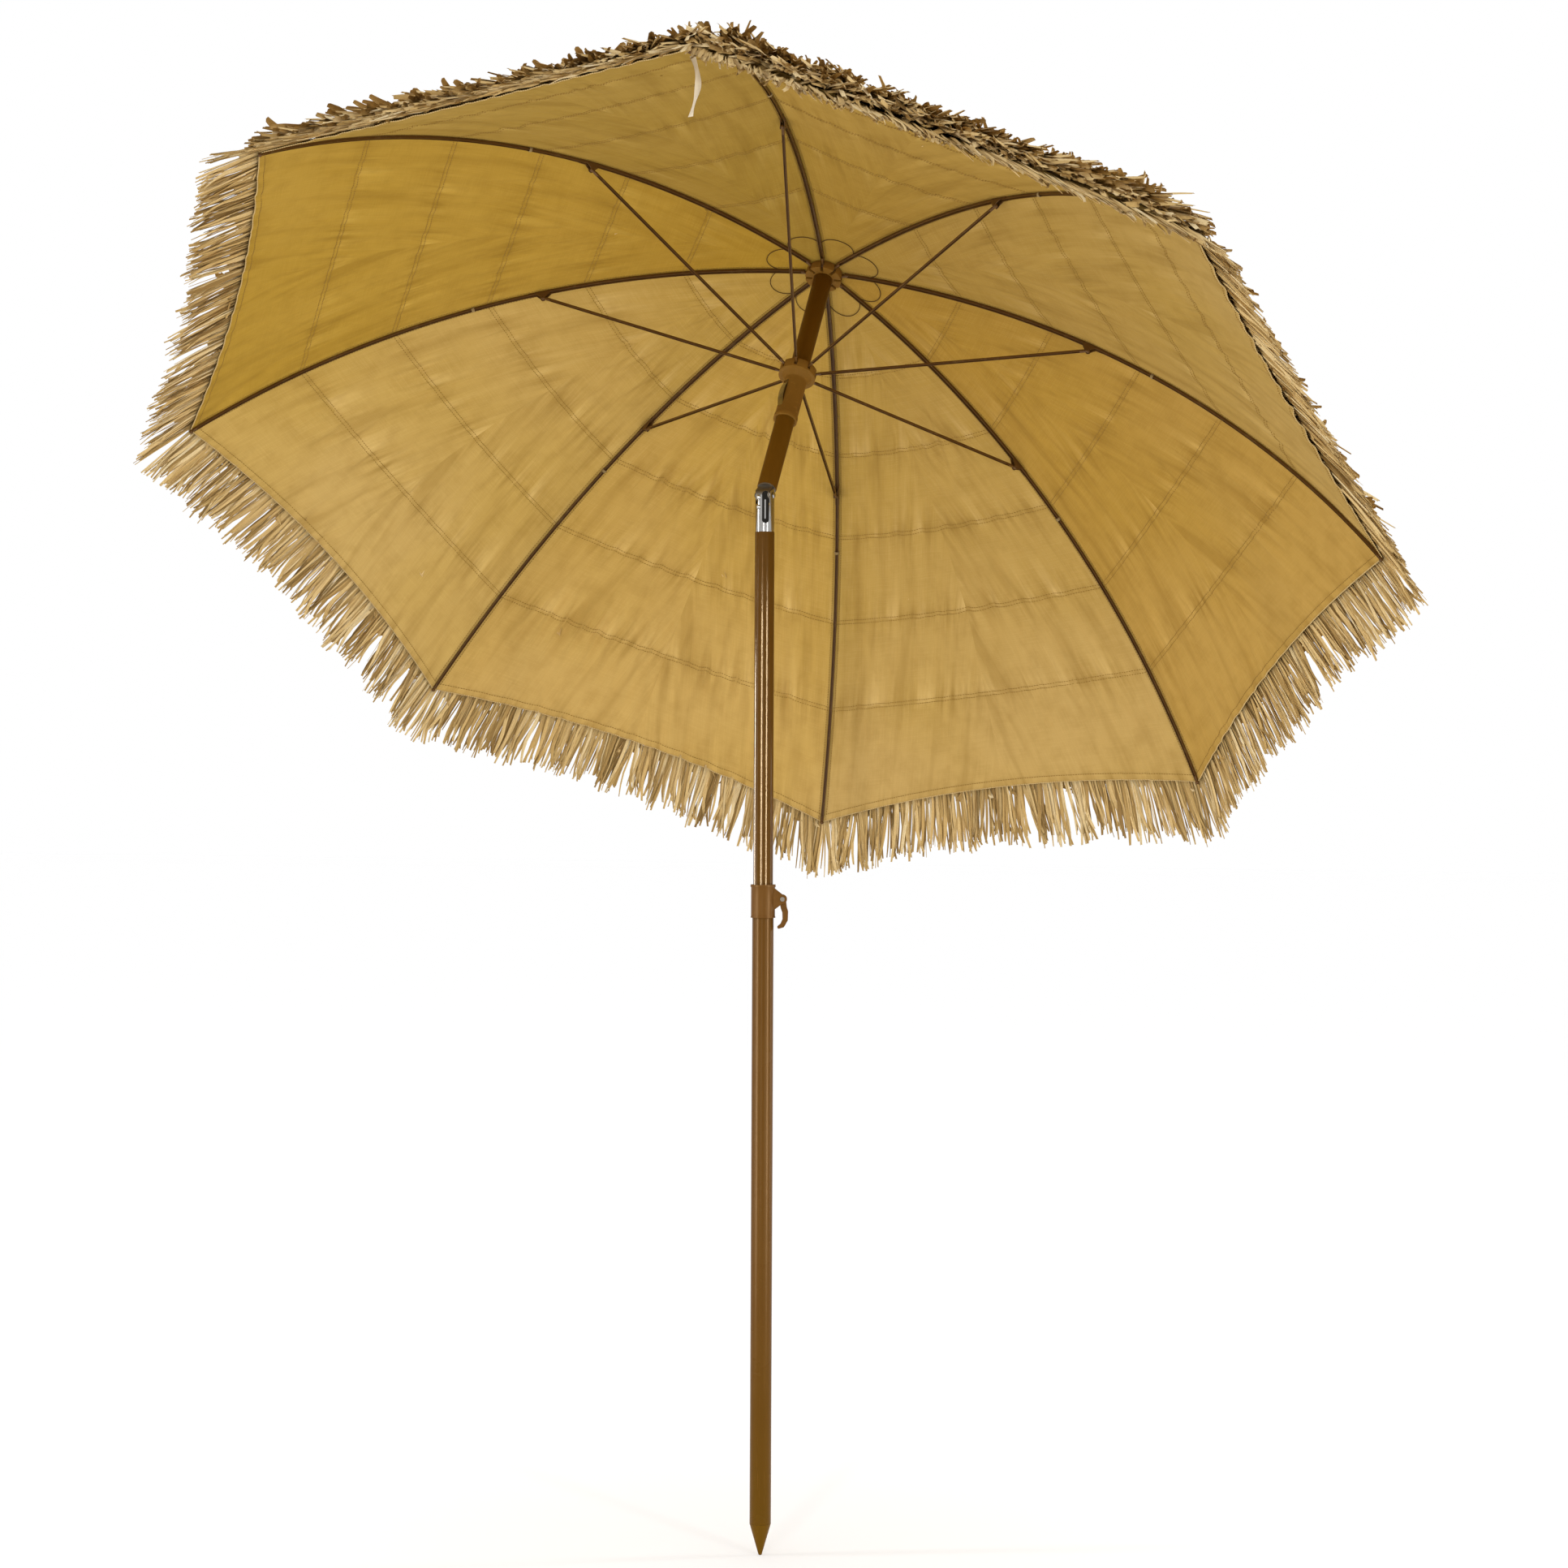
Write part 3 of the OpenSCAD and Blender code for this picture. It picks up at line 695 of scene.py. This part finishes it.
def curved_plate(name, middle, half_w, low, high, radii, material):
    """A plate with round ends that lies on the tilt socket, between two radii."""
    rows, cols = 33, 9
    z = np.linspace(low, high, rows)[:, None]
    end = np.minimum(z - low, high - z) / half_w
    wide = half_w * np.sqrt(1 - np.clip(1 - end, 0, 1) ** 2)
    shares = np.linspace(-1, 1, cols)[None, :]
    layers = []
    for r in radii:
        angle = middle + wide * shares / r
        layers.append(np.stack([r * np.cos(angle), r * np.sin(angle),
                                np.broadcast_to(z, angle.shape)], -1))
    count = rows * cols
    faces = grid_faces(rows, cols, 0) + grid_faces(rows, cols, count, flip=True)
    ring = list(range(cols)) + [r * cols + cols - 1 for r in range(1, rows)]
    ring += [(rows - 1) * cols + c for c in range(cols - 2, -1, -1)]
    ring += [r * cols for r in range(rows - 2, 0, -1)]
    faces += [[a, b, b + count, a + count] for a, b in zip(ring, ring[1:] + ring[:1])]
    piece = add_mesh(name, np.concatenate(layers).reshape(-1, 3), faces, material)
    tidy_mesh(piece, MERGE)
    piece.data.set_sharp_from_angle(angle=SHARP_EDGE)
    return piece


def make_release():
    """The joint's release: a black tongue in its slot, with a thin bright spring on it."""
    top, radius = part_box("tilt_rivets")[1].z + 0.006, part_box("tilt_socket")[1].x
    for name, slot, turn, half_w, low, high, inner, outer in (
            ("tongue", "bush_plastic", RELEASE_TURN, 0.0050, 0.046, 0.0, -0.0006, 0.0003),
            ("spring", "joint_chrome", RELEASE_TURN - 0.04, 0.0010, 0.040, 0.012, 0.0, 0.0009)):
        plate = curved_plate(f"release_{name}", turn, half_w, top - low, top - high,
                             (radius + inner, radius + outer), FINISHES[slot])
        finished(plate, "mid_pole", slot)


# ---- canopy fabric

def fabric_grid_s():
    """Shares of the way to the hem, closer together at the sewn rows and the hem."""
    even = np.linspace(0, 1, 92)
    close = [(row + d) / ARC.length for row in ROWS
             for d in (-0.012, -0.008, -0.004, 0.0, 0.004, 0.008, 0.012)]
    hem = 1 - np.array([0.002, 0.004, HEM_W - 0.001, HEM_W, HEM_W + 0.002]) / ARC.length
    s = np.sort(np.concatenate([even, close, hem]))
    return s[np.concatenate([[True], np.diff(s) > 0.0011])]


def cloth_uv(s, v):
    """The fabric laid flat, in metres."""
    x = ARC.point(s)[0]
    return np.stack([x * np.sin(v * HALF_PANEL), s], -1)


def make_fabric(rib):
    """One rib's share of the canopy, as a thin shell closed along the hem, with its gathers."""
    share = fabric_grid_s()
    across = np.linspace(-1, 1, 129)
    v = np.broadcast_to(across, (len(share), len(across)))
    s = share[:, None] * hem_at(v)
    rows, cols = s.shape
    hem = np.clip((s - hem_at(v) + HEM_W) / 0.001, 0, 1) * 0.0007
    low = rib.place(fabric_point(rib, s, v, -hem))
    high = rib.place(fabric_point(rib, s, v, FABRIC_T))
    normals = grid_normals(high)
    count = rows * cols
    rim = np.concatenate([low[-1], high[-1]])
    points = np.concatenate([low.reshape(-1, 3), high.reshape(-1, 3), rim])
    faces = grid_faces(rows, cols, 0, flip=True) + grid_faces(rows, cols, count)
    faces += grid_faces(2, cols, 2 * count)
    edge = surface_frame(rib, hem_at(across), across)[1]
    every = np.concatenate([-normals.reshape(-1, 3), normals.reshape(-1, 3), edge, edge])
    piece = add_mesh(f"canopy_cloth_{rib.number}", points, faces, FINISHES["canopy_fabric"], every)

    def on_shell(values):
        return np.concatenate([values, values, values[-cols:], values[-cols:]])

    set_uv(piece.data, on_shell(cloth_uv(s, v).reshape(-1, 2)))
    # How near the sewn rows and the hem: the gathers pucker there and painted shade darkens their folds
    near = sum(np.exp(-np.abs(s - row) / 0.03) for row in ROWS)
    near = np.clip(near + np.exp(-np.abs(s - hem_at(v)) / 0.02), 0.06, 1).ravel()
    # Painted light: how strongly light is painted glowing through the cloth, highest just inside each sewn
    # row
    before = sum(np.where(s < row, np.exp(-(row - s) / 0.035), 0) for row in ROWS).ravel()
    seam = sum(np.exp(-((s - row) / 0.0045) ** 2) for row in ROWS).ravel()
    for name, value in (("sewn", near), ("glow", before), ("seam", np.clip(seam, 0, 1))):
        set_attribute(piece.data, name, "FLOAT", on_shell(value))
    # Painted light: each half of the share takes its own panel's lighter or darker tint
    dye = np.where(v.reshape(-1, 1) < 0, PANEL_LIGHT[rib.number - 2], PANEL_LIGHT[rib.number - 1])
    dye = np.column_stack([dye, np.ones(len(dye))])
    set_attribute(piece.data, "dye", "FLOAT_COLOR", on_shell(dye))
    finished(piece, rib.body, "canopy_fabric", f"canopy_{rib.number}")
    return piece


def fabric_area():
    """Flat area of one share, from the smooth surface."""
    v, s = np.meshgrid(np.linspace(-1, 1, 81), np.linspace(0, 1, 161))
    p = skin(s * hem_at(v), v)
    a = np.linalg.norm(np.cross(p[1:, :-1] - p[:-1, :-1], p[:-1, 1:] - p[:-1, :-1]), axis=-1)
    b = np.linalg.norm(np.cross(p[1:, :-1] - p[1:, 1:], p[:-1, 1:] - p[1:, 1:]), axis=-1)
    return float((a.sum() + b.sum()) / 2)


# ---- geometry node trees

class Graph(Nodes):
    """A geometry node tree with named inputs and a short way to add nodes."""

    def __init__(self, name):
        self.tree = bpy.data.node_groups.new(name, "GeometryNodeTree")
        for way in ("INPUT", "OUTPUT"):
            self.tree.interface.new_socket("Geometry", in_out=way, socket_type="NodeSocketGeometry")
        self.entry = self.tree.nodes.new("NodeGroupInput")
        self.names = {}

    def size(self, name, kind="NodeSocketFloat"):
        socket = self.tree.interface.new_socket(name, in_out="INPUT", socket_type=kind)
        self.names[name] = socket.identifier
        return self.entry.outputs[name]

    def random(self, low, high, seed, kind="FLOAT"):
        first, outputs = {"FLOAT": (2, 1), "FLOAT_VECTOR": (0, 0), "INT": (4, 2)}[kind]
        return self.node("FunctionNodeRandomValue", {"data_type": kind},
                         {first: low, first + 1: high, "Seed": seed}, output=outputs)

    def attribute(self, name, kind="FLOAT"):
        return self.node("GeometryNodeInputNamedAttribute", {"data_type": kind}, {"Name": name})

    def product(self, a, b):
        return self.node("ShaderNodeMath", {"operation": "MULTIPLY"}, {0: a, 1: b})

    def points_along(self, spacing):
        """Points at even steps along the guide lines."""
        curve = self.node("GeometryNodeMeshToCurve", inputs={0: self.entry.outputs[0]})
        curve = self.node("GeometryNodeResampleCurve", {"mode": "LENGTH"},
                          {"Curve": curve, "Length": spacing})
        return self.node("GeometryNodeCurveToPoints", {"mode": "EVALUATED"}, {0: curve})

    def facing(self, upward, outward):
        """A turn that lays X along outward and Z along upward."""
        return self.node("FunctionNodeAxesToRotation",
                         {"primary_axis": "Z", "secondary_axis": "X"},
                         {"Primary Axis": upward, "Secondary Axis": outward})

    def close(self, geometry, material):
        """Ends the tree as real geometry of one material."""
        real = self.node("GeometryNodeRealizeInstances", inputs={0: geometry})
        done = self.node("GeometryNodeSetMaterial", inputs={0: real, "Material": material})
        exit_node = self.tree.nodes.new("NodeGroupOutput")
        self.tree.links.new(done, exit_node.inputs[0])

    def run(self, guide, **values):
        """Applies the tree to a guide object and leaves the result as its plain mesh."""
        modifier = guide.modifiers.new("grow", "NODES")
        modifier.node_group = self.tree
        for name, value in values.items():
            modifier[self.names[name]] = value
        return bake_modifiers(guide)


def guide_lines(name, lines):
    """An object of open polylines with the directions that a tree needs at each point."""
    points, edges, outward, upward, extra = [], [], [], [], {}
    for line in lines:
        first = len(points)
        points += [tuple(p) for p in line["points"]]
        edges += [(i, i + 1) for i in range(first, len(points) - 1)]
        outward += list(line["outward"])
        upward += list(line["upward"])
        for key, value in line.items():
            if key not in ("points", "outward", "upward"):
                extra.setdefault(key, []).extend(np.broadcast_to(value, len(line["points"])))
    mesh = bpy.data.meshes.new(name)
    mesh.from_pydata(points, edges, [])
    set_attribute(mesh, "outward", "FLOAT_VECTOR", outward)
    set_attribute(mesh, "upward", "FLOAT_VECTOR", upward)
    for key, values in extra.items():
        set_attribute(mesh, key, "FLOAT", values)
    return show(bpy.data.objects.new(name, mesh))


def strand(name, rng, rings=6):
    """One raffia strand of unit length along X: a creased flat ribbon with a blunt cut end."""
    bend, droop = rng.uniform(-0.05, 0.05), rng.uniform(0.0, 0.02)
    twist, kink = rng.uniform(-0.7, 0.7), rng.uniform(-0.012, 0.012)
    slope = 40                       # sideways shape is drawn in strand widths
    points = []
    for t in np.linspace(0, 1, rings):
        width = (1 - 0.25 * t ** 8) * (0.78 + 0.22 * math.sin(2.6 * t + 0.3))
        turn = twist * t
        across = slope * (bend * t * t + kink * math.sin(7 * t))
        down = -slope * droop * t * t
        for side, fold in ((-1, 0.0), (0, 0.28), (1, 0.0)):
            y, z = 0.5 * side * width, fold * width
            points.append((t, y * math.cos(turn) - z * math.sin(turn) + across,
                           y * math.sin(turn) + z * math.cos(turn) + down))
    mesh = bpy.data.meshes.new(name)
    mesh.from_pydata(points, [], grid_faces(rings, 3))
    set_attribute(mesh, "reach", "FLOAT", [p[0] for p in points])
    set_attribute(mesh, "side", "FLOAT", [-1, 0, 1] * rings)
    mesh.shade_smooth()
    return bpy.data.objects.new(name, mesh)


def strand_bundle():
    """Ten strands to pick from, in a collection that isn't in the scene."""
    rng = np.random.default_rng(11)
    bundle = bpy.data.collections.new("strands")
    for k in range(10):
        bundle.objects.link(strand(f"strand_{k}", rng))
    return bundle


def raffia_graph(bundle):
    """Strands along guide lines: each has its own length, width, lean, lift and tone."""
    g = Graph("raffia")
    spacing = g.size("Spacing")
    width = g.size("Width")
    spread = g.size("Spread")
    seed = g.size("Seed", "NodeSocketInt")
    material = g.size("Material", "NodeSocketMaterial")
    points = g.points_along(spacing)
    upward = g.attribute("upward", "FLOAT_VECTOR")
    outward = g.attribute("outward", "FLOAT_VECTOR")

    def scaled(vector, number):
        return g.node("ShaderNodeVectorMath", {"operation": "SCALE"},
                      {0: vector, "Scale": number})

    stagger = g.size("Stagger")
    out_jitter = scaled(outward, g.product(g.random(-1.0, 0.3, 1), stagger))
    up_jitter = scaled(upward, g.random(0.0, 0.004, 2))
    shift = g.node("ShaderNodeVectorMath", {"operation": "ADD"}, {0: out_jitter, 1: up_jitter})
    points = g.node("GeometryNodeSetPosition", inputs={"Geometry": points, "Offset": shift})
    lean = g.random((-0.6, -0.07, -0.07), (0.6, 0.0, 0.07), seed, "FLOAT_VECTOR")
    pitch = g.node("ShaderNodeCombineXYZ", inputs={"Y": g.attribute("pitch")})
    spread_lean = g.node("ShaderNodeVectorMath", {"operation": "MULTIPLY_ADD"},
                         {0: lean, 1: g.node("ShaderNodeCombineXYZ", inputs={
                             "X": 1.0, "Y": spread, "Z": spread}), 2: pitch})
    wobble = g.node("FunctionNodeEulerToRotation", inputs={0: spread_lean})
    turned_by = g.node("FunctionNodeRotateRotation", {"rotation_space": "LOCAL"},
                       {0: g.facing(upward, outward), 1: wobble})
    long = g.product(g.attribute("reach_m"), g.random(0.80, 1.04, 4))
    wide = g.product(width, g.random(0.5, 1.4, 5))
    size = g.node("ShaderNodeCombineXYZ", inputs={"X": long, "Y": wide, "Z": wide})
    strands = g.node("GeometryNodeCollectionInfo", {"transform_space": "ORIGINAL"},
                     {"Collection": bundle, "Separate Children": True, "Reset Children": True})
    picked = g.random(0, len(bundle.objects) - 1, 6, "INT")
    placed = g.node("GeometryNodeInstanceOnPoints", inputs={
        "Points": points, "Instance": strands, "Pick Instance": True, "Instance Index": picked,
        "Rotation": turned_by, "Scale": size})
    tinted = g.node("GeometryNodeStoreNamedAttribute", {"data_type": "FLOAT", "domain": "INSTANCE"},
                    {"Geometry": placed, "Name": "tint", "Value": g.random(0.0, 1.0, 9)})
    g.close(tinted, material)
    return g


def tufts(span, rng):
    """Where tufts begin and end along a band, and each one's pull, lean, length and tone."""
    edges = np.concatenate([[0.0], np.cumsum(rng.uniform(0.011, 0.034, 4 + int(span / 0.011)))])
    count = len(edges)
    return edges, {"pull": rng.uniform(0.10, 0.55, count), "lean": rng.normal(0, 0.07, count),
                   "length": rng.uniform(0.88, 1.03, count), "tone": rng.uniform(0, 1, count),
                   "lift": rng.uniform(0, 0.07, count)}


def band_line(rib, s, reach, pitch, out, fall, seed, wild):
    """A guide line across one rib's share: strands lean together in tufts and fall a little."""
    v = np.linspace(-1, 1, 321)
    place = s(v) if callable(s) else np.full_like(v, s)
    points, outward, upward = surface_frame(rib, place, v, out)
    along = np.concatenate([[0], np.cumsum(np.linalg.norm(np.diff(points, axis=0), axis=1))])
    edges, tuft = tufts(along[-1], np.random.default_rng(1000 * rib.number + seed))
    which = np.searchsorted(edges, along, side="right") - 1
    middle = (edges[which] + edges[which + 1]) / 2
    sideways = np.cross(upward, outward)
    swing = tuft["pull"][which] * (middle - along) / reach + wild * tuft["lean"][which]
    outward = outward + sideways * swing[:, None] + upward * (wild * tuft["lift"][which])[:, None]
    high_side = np.clip(-outward[:, 1:2], 0, 1) ** 2
    outward = outward + fall * (1 + HIGH_SIDE_FALL * high_side) * np.array([0.0, 0.0, -1.0])
    return {"points": points, "outward": unit(outward), "upward": upward,
            "reach_m": reach * tuft["length"][which], "pitch": pitch,
            "tuft_tone": tuft["tone"][which]}


def past_hem(back):
    """Along the hem, this far in from its edge."""
    return lambda v: hem_at(v) - back


def make_thatch(rib, raffia):
    """Raffia bands sewn along the rows, each over the next, and the fringe past the hem."""
    bands = []
    starts = [0.016, 0.055]
    starts += [row - back for row in ROWS for back in (BAND_REACH, BAND_REACH / 2, 0)]
    for k, start in enumerate(starts):
        bands.append(band_line(rib, start, BAND_REACH, -0.06, 0.0082, 0.0, 2 * k, 1.9))
        bands.append(band_line(rib, start + 0.012, 0.088, -0.12, 0.0102, 0.0, 2 * k + 1, 2.4))
    for k, (back, reach) in enumerate(((0.088, 0.100), (0.045, 0.062), (0.020, 0.040))):
        bands.append(band_line(rib, past_hem(back), reach, -0.09, 0.0078, 0.0, 50 + k, 2.0))
    fringe = [band_line(rib, past_hem(0.003), FRINGE, 0.0, 0.0010, 0.20, 60, 1.0),
              band_line(rib, past_hem(0.005), 0.97 * FRINGE, 0.0, 0.0024, 0.14, 60, 1.2)]
    made = []
    for name, lines, spacing, width, spread, stagger, seed, stands_for in (
            ("bands", bands, 0.0048, 0.0092, 1.9, 0.012, 20, [f"thatch_{rib.number}"]),
            ("fringe", fringe, 0.0034, 0.0042, 0.7, 0.002, 60, [])):
        piece = raffia.run(guide_lines(f"thatch_{name}_{rib.number}", lines), Spacing=spacing,
                           Width=width, Spread=spread, Stagger=stagger, Seed=seed + rib.number,
                           Material=FINISHES["raffia"])
        made.append(finished(piece, rib.body, "raffia", *stands_for))
    return made


# ---- sewing

def stitch_graph():
    """Stitches of rounded thread laid end to end along guide lines."""
    g = Graph("stitches")
    pitch = g.size("Pitch")
    length = g.size("Length")
    thick = g.size("Thickness")
    material = g.size("Material", "NodeSocketMaterial")
    facing = g.facing(g.attribute("upward", "FLOAT_VECTOR"), g.attribute("outward", "FLOAT_VECTOR"))
    bead = g.node("GeometryNodeMeshUVSphere", inputs={"Segments": 6, "Rings": 4, "Radius": 0.5})
    size = g.node("ShaderNodeCombineXYZ", inputs={"X": length, "Y": thick, "Z": thick})
    placed = g.node("GeometryNodeInstanceOnPoints", inputs={
        "Points": g.points_along(pitch), "Instance": bead, "Rotation": facing, "Scale": size})
    g.close(placed, material)
    return g


def seam_line(rib, s, v, out):
    """A guide line whose stitches lie along it, on the gathered fabric."""
    points = rib.place(fabric_point(rib, s, v, out))
    along = unit(np.gradient(points, axis=0))
    return {"points": points, "outward": along, "upward": surface_frame(rib, s, v)[2]}


def make_stitching(rib, stitches):
    """Double rows under each raffia band, the hem's row, and the seam along the rib."""
    across = np.linspace(-0.999, 0.999, 361)
    lines = [seam_line(rib, np.full_like(across, row + d), across, -0.0002)
             for row in ROWS for d in (-0.003, 0.003)]
    lines.append(seam_line(rib, hem_at(across) - HEM_W + 0.002, across, -0.0010))
    along = np.linspace(0.03, ARC.length - 0.004, 300)
    for side in (-1, 1):
        v = side * 0.0062 / (ARC.point(along)[0] * HALF_PANEL)
        lines.append(seam_line(rib, along, v, -0.0002))
    patch = [seam_line(rib, 0.050 + 0.030 * hollow(across), across, -0.0012)]
    cord = [seam_line(rib, hem_at(across) - 0.0006, across, -0.0010)]
    made = [stitches.run(guide_lines(f"{name}_{rib.number}", guides), Pitch=pitch, Length=length,
                         Thickness=thick, Material=thread)
            for name, guides, pitch, length, thick, thread in (
                ("stitching", lines, 0.0042, 0.0032, 0.0013, THREAD),
                ("hub_patch", patch, 0.0021, 0.0030, 0.0013, PATCH_CORD),
                ("hem_cord", cord, 0.0034, 0.0036, 0.0021, HEM_CORD))]
    return [finished(piece, rib.body, "canopy_fabric") for piece in made]


def swept(name, path, radius, material, sides=8):
    """A round thread along a path, closed at both ends."""
    path = np.asarray(path)
    along = unit(np.gradient(path, axis=0))
    side = unit(np.cross(along, (0.31, 0.52, 0.79)))
    other = np.cross(along, side)
    angles = np.arange(sides) * 2 * math.pi / sides
    rings = path[:, None] + radius * (np.cos(angles)[:, None] * side[:, None]
                                      + np.sin(angles)[:, None] * other[:, None])
    faces = ring_faces(len(path), len(path) - 1, sides)
    last = (len(path) - 1) * sides
    faces += [list(range(sides))[::-1], list(range(last, last + sides))]
    return add_mesh(name, rings.reshape(-1, 3), faces, material)


def make_thread_tie(rib):
    """Thread wound round the rib and knotted, which holds the fabric to it."""
    t = np.linspace(0, 1, 120)
    turns = 2 * math.pi * TIE_TURNS * t
    s = TIE_S + 0.0042 * (t - 0.5)
    x, z = ARC.point(s, 0.0)
    angle = ARC.start - s / ARC.radius
    out = 0.0031 * np.sin(turns)
    path = rib.place(np.stack([x + out * np.cos(angle), 0.0033 * np.cos(turns),
                               z + out * np.sin(angle)], -1))
    return finished(swept(f"thread_tie_{rib.number}", path, 0.0005, TIE_THREAD), rib.body,
                    "ribbon")


def fold_with_canopy(piece):
    """Gives a soft piece a mesh of its own."""
    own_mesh(piece)


def make_canopy():
    raffia = raffia_graph(strand_bundle())
    stitches = stitch_graph()
    area = fabric_area()
    for rib in RIBS:
        cloth = make_fabric(rib)
        make_thread_tie(rib)
        soft = make_stitching(rib, stitches) + make_thatch(rib, raffia)
        for piece in [cloth] + soft:
            fold_with_canopy(piece)


# ---- ribbon

def make_ribbon():
    """A twisted tape in the tie's own box."""
    low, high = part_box("tie_ribbon")
    middle = (low + high) / 2
    rows, cols, half_t = 40, 7, 0.00015
    width, length = high.x - low.x, high.z - low.z
    t = np.linspace(0, 1, rows)[:, None]
    u = np.linspace(-0.5, 0.5, cols)[None, :]
    turn = np.sin(5.2 * t + 0.5) + 0.25
    x = middle.x + width * u * np.cos(turn) + 0.0062 * np.sin(3.3 * t)
    y = middle.y + width * u * np.sin(turn) + 0.0035 * np.sin(5 * t)
    z = np.broadcast_to(high.z - length * t, x.shape)
    grid = np.stack([x, y, z], -1)
    normals = grid_normals(grid)
    faces = grid_faces(rows, cols) + grid_faces(rows, cols, rows * cols, flip=True)
    points = np.concatenate([(grid + half_t * normals).reshape(-1, 3),
                             (grid - half_t * normals).reshape(-1, 3)])
    ribbon = add_mesh("tie_ribbon_tape", points, faces, FINISHES["ribbon"])
    flat = np.stack(np.broadcast_arrays(width * u, length * t), -1).reshape(-1, 2)
    set_uv(ribbon.data, np.concatenate([flat, flat]))
    finished(ribbon, f"rib_{RIBBON_RIB}", "ribbon", "tie_ribbon")


# ---- stage

def make_stage():
    """A white floor under plain soft light, with strips that draw the poles' highlights."""
    bpy.context.scene.view_settings.view_transform = "Standard"
    floor_z = CAD_BOX[0][2]
    far = 40
    corners = [(x, y, floor_z) for x, y in ((-far, -far), (far, -far), (far, far), (-far, far))]
    floor = add_mesh("floor", corners, [[0, 1, 2, 3]],
                     Finish("floor_paper", Roughness=0.9, Base_Color=(1, 1, 1, 1)).material)
    world = bpy.data.worlds.new("studio")
    world.use_nodes = True
    for socket, value in (("Color", (1, 1, 1, 1)), ("Strength", 1.0)):
        world.node_tree.nodes["Background"].inputs[socket].default_value = value
    bpy.context.scene.world = world
    # Tall soft boxes, by their direction from the pole: 0 is the camera's, positive is to its left
    for name, turn, width, power in (("left", 84, 0.35, 55), ("front", 12, 0.22, 38),
                                     ("right", -32, 0.28, 38), ("far_right", -100, 0.35, 45)):
        softbox(f"strip_{name}", turn, width, power)
    # Cards that only draw their highlights down the poles, as ones close to them would
    dull = ["lower_tube_skin", "clamp_collar_skin", "clamp_lever_skin", "ground_spike"]
    glossy = ["mid_tube_skin"]
    warm, pale = (1.0, 0.84, 0.66), (1.0, 0.92, 0.80)
    for turn, power, pieces, tint in (
            (61, 330, dull, warm), (-56, 330, dull, warm), (26, 1150, glossy, pale),
            (-33, 1000, glossy, pale), (120, 500, glossy, pale)):
        lit = bpy.data.collections.new(f"lit_from_{turn}")
        for name in pieces:
            lit.objects.link(bpy.data.objects[name])
        card = softbox(f"card_{turn}", turn, 0.9, power)
        card.light_linking.receiver_collection = lit
        card.light_linking.blocker_collection = lit
        card.data.color = tint
        card.visible_diffuse = False


def softbox(name, turn, width, power, distance=4.2, height=1.1, length=3.4):
    """A tall strip light that faces the pole."""
    light = bpy.data.lights.new(name, "AREA")
    light.shape, light.size, light.size_y, light.energy = "RECTANGLE", width, length, power
    holder = show(bpy.data.objects.new(name, light))
    heading = CAMERA_HEADING + math.radians(turn)
    at = Vector((-math.sin(heading) * distance, -math.cos(heading) * distance, height))
    holder.location = at
    holder.rotation_euler = (Vector((0, 0, height)) - at).to_track_quat("-Z", "Y").to_euler()
    return holder


def make_camera():
    camera = bpy.data.cameras.new("camera")
    camera.sensor_width = 36
    camera.lens = 36 * FOCAL_SHARE
    camera.clip_end = 200
    holder = show(bpy.data.objects.new("camera", camera))
    level = Matrix.Rotation(-CAMERA_HEADING, 4, "Z") @ Matrix.Rotation(math.pi / 2, 4, "X")
    holder.matrix_world = Matrix.Translation(CAMERA_AT) @ level @ Matrix.Rotation(CAMERA_ROLL, 4, "Z")
    bpy.context.scene.camera = holder


make_camera()
finish_cad_nodes()
make_poles()
make_moulded_parts()
make_release()
make_canopy()
make_ribbon()
make_stage()
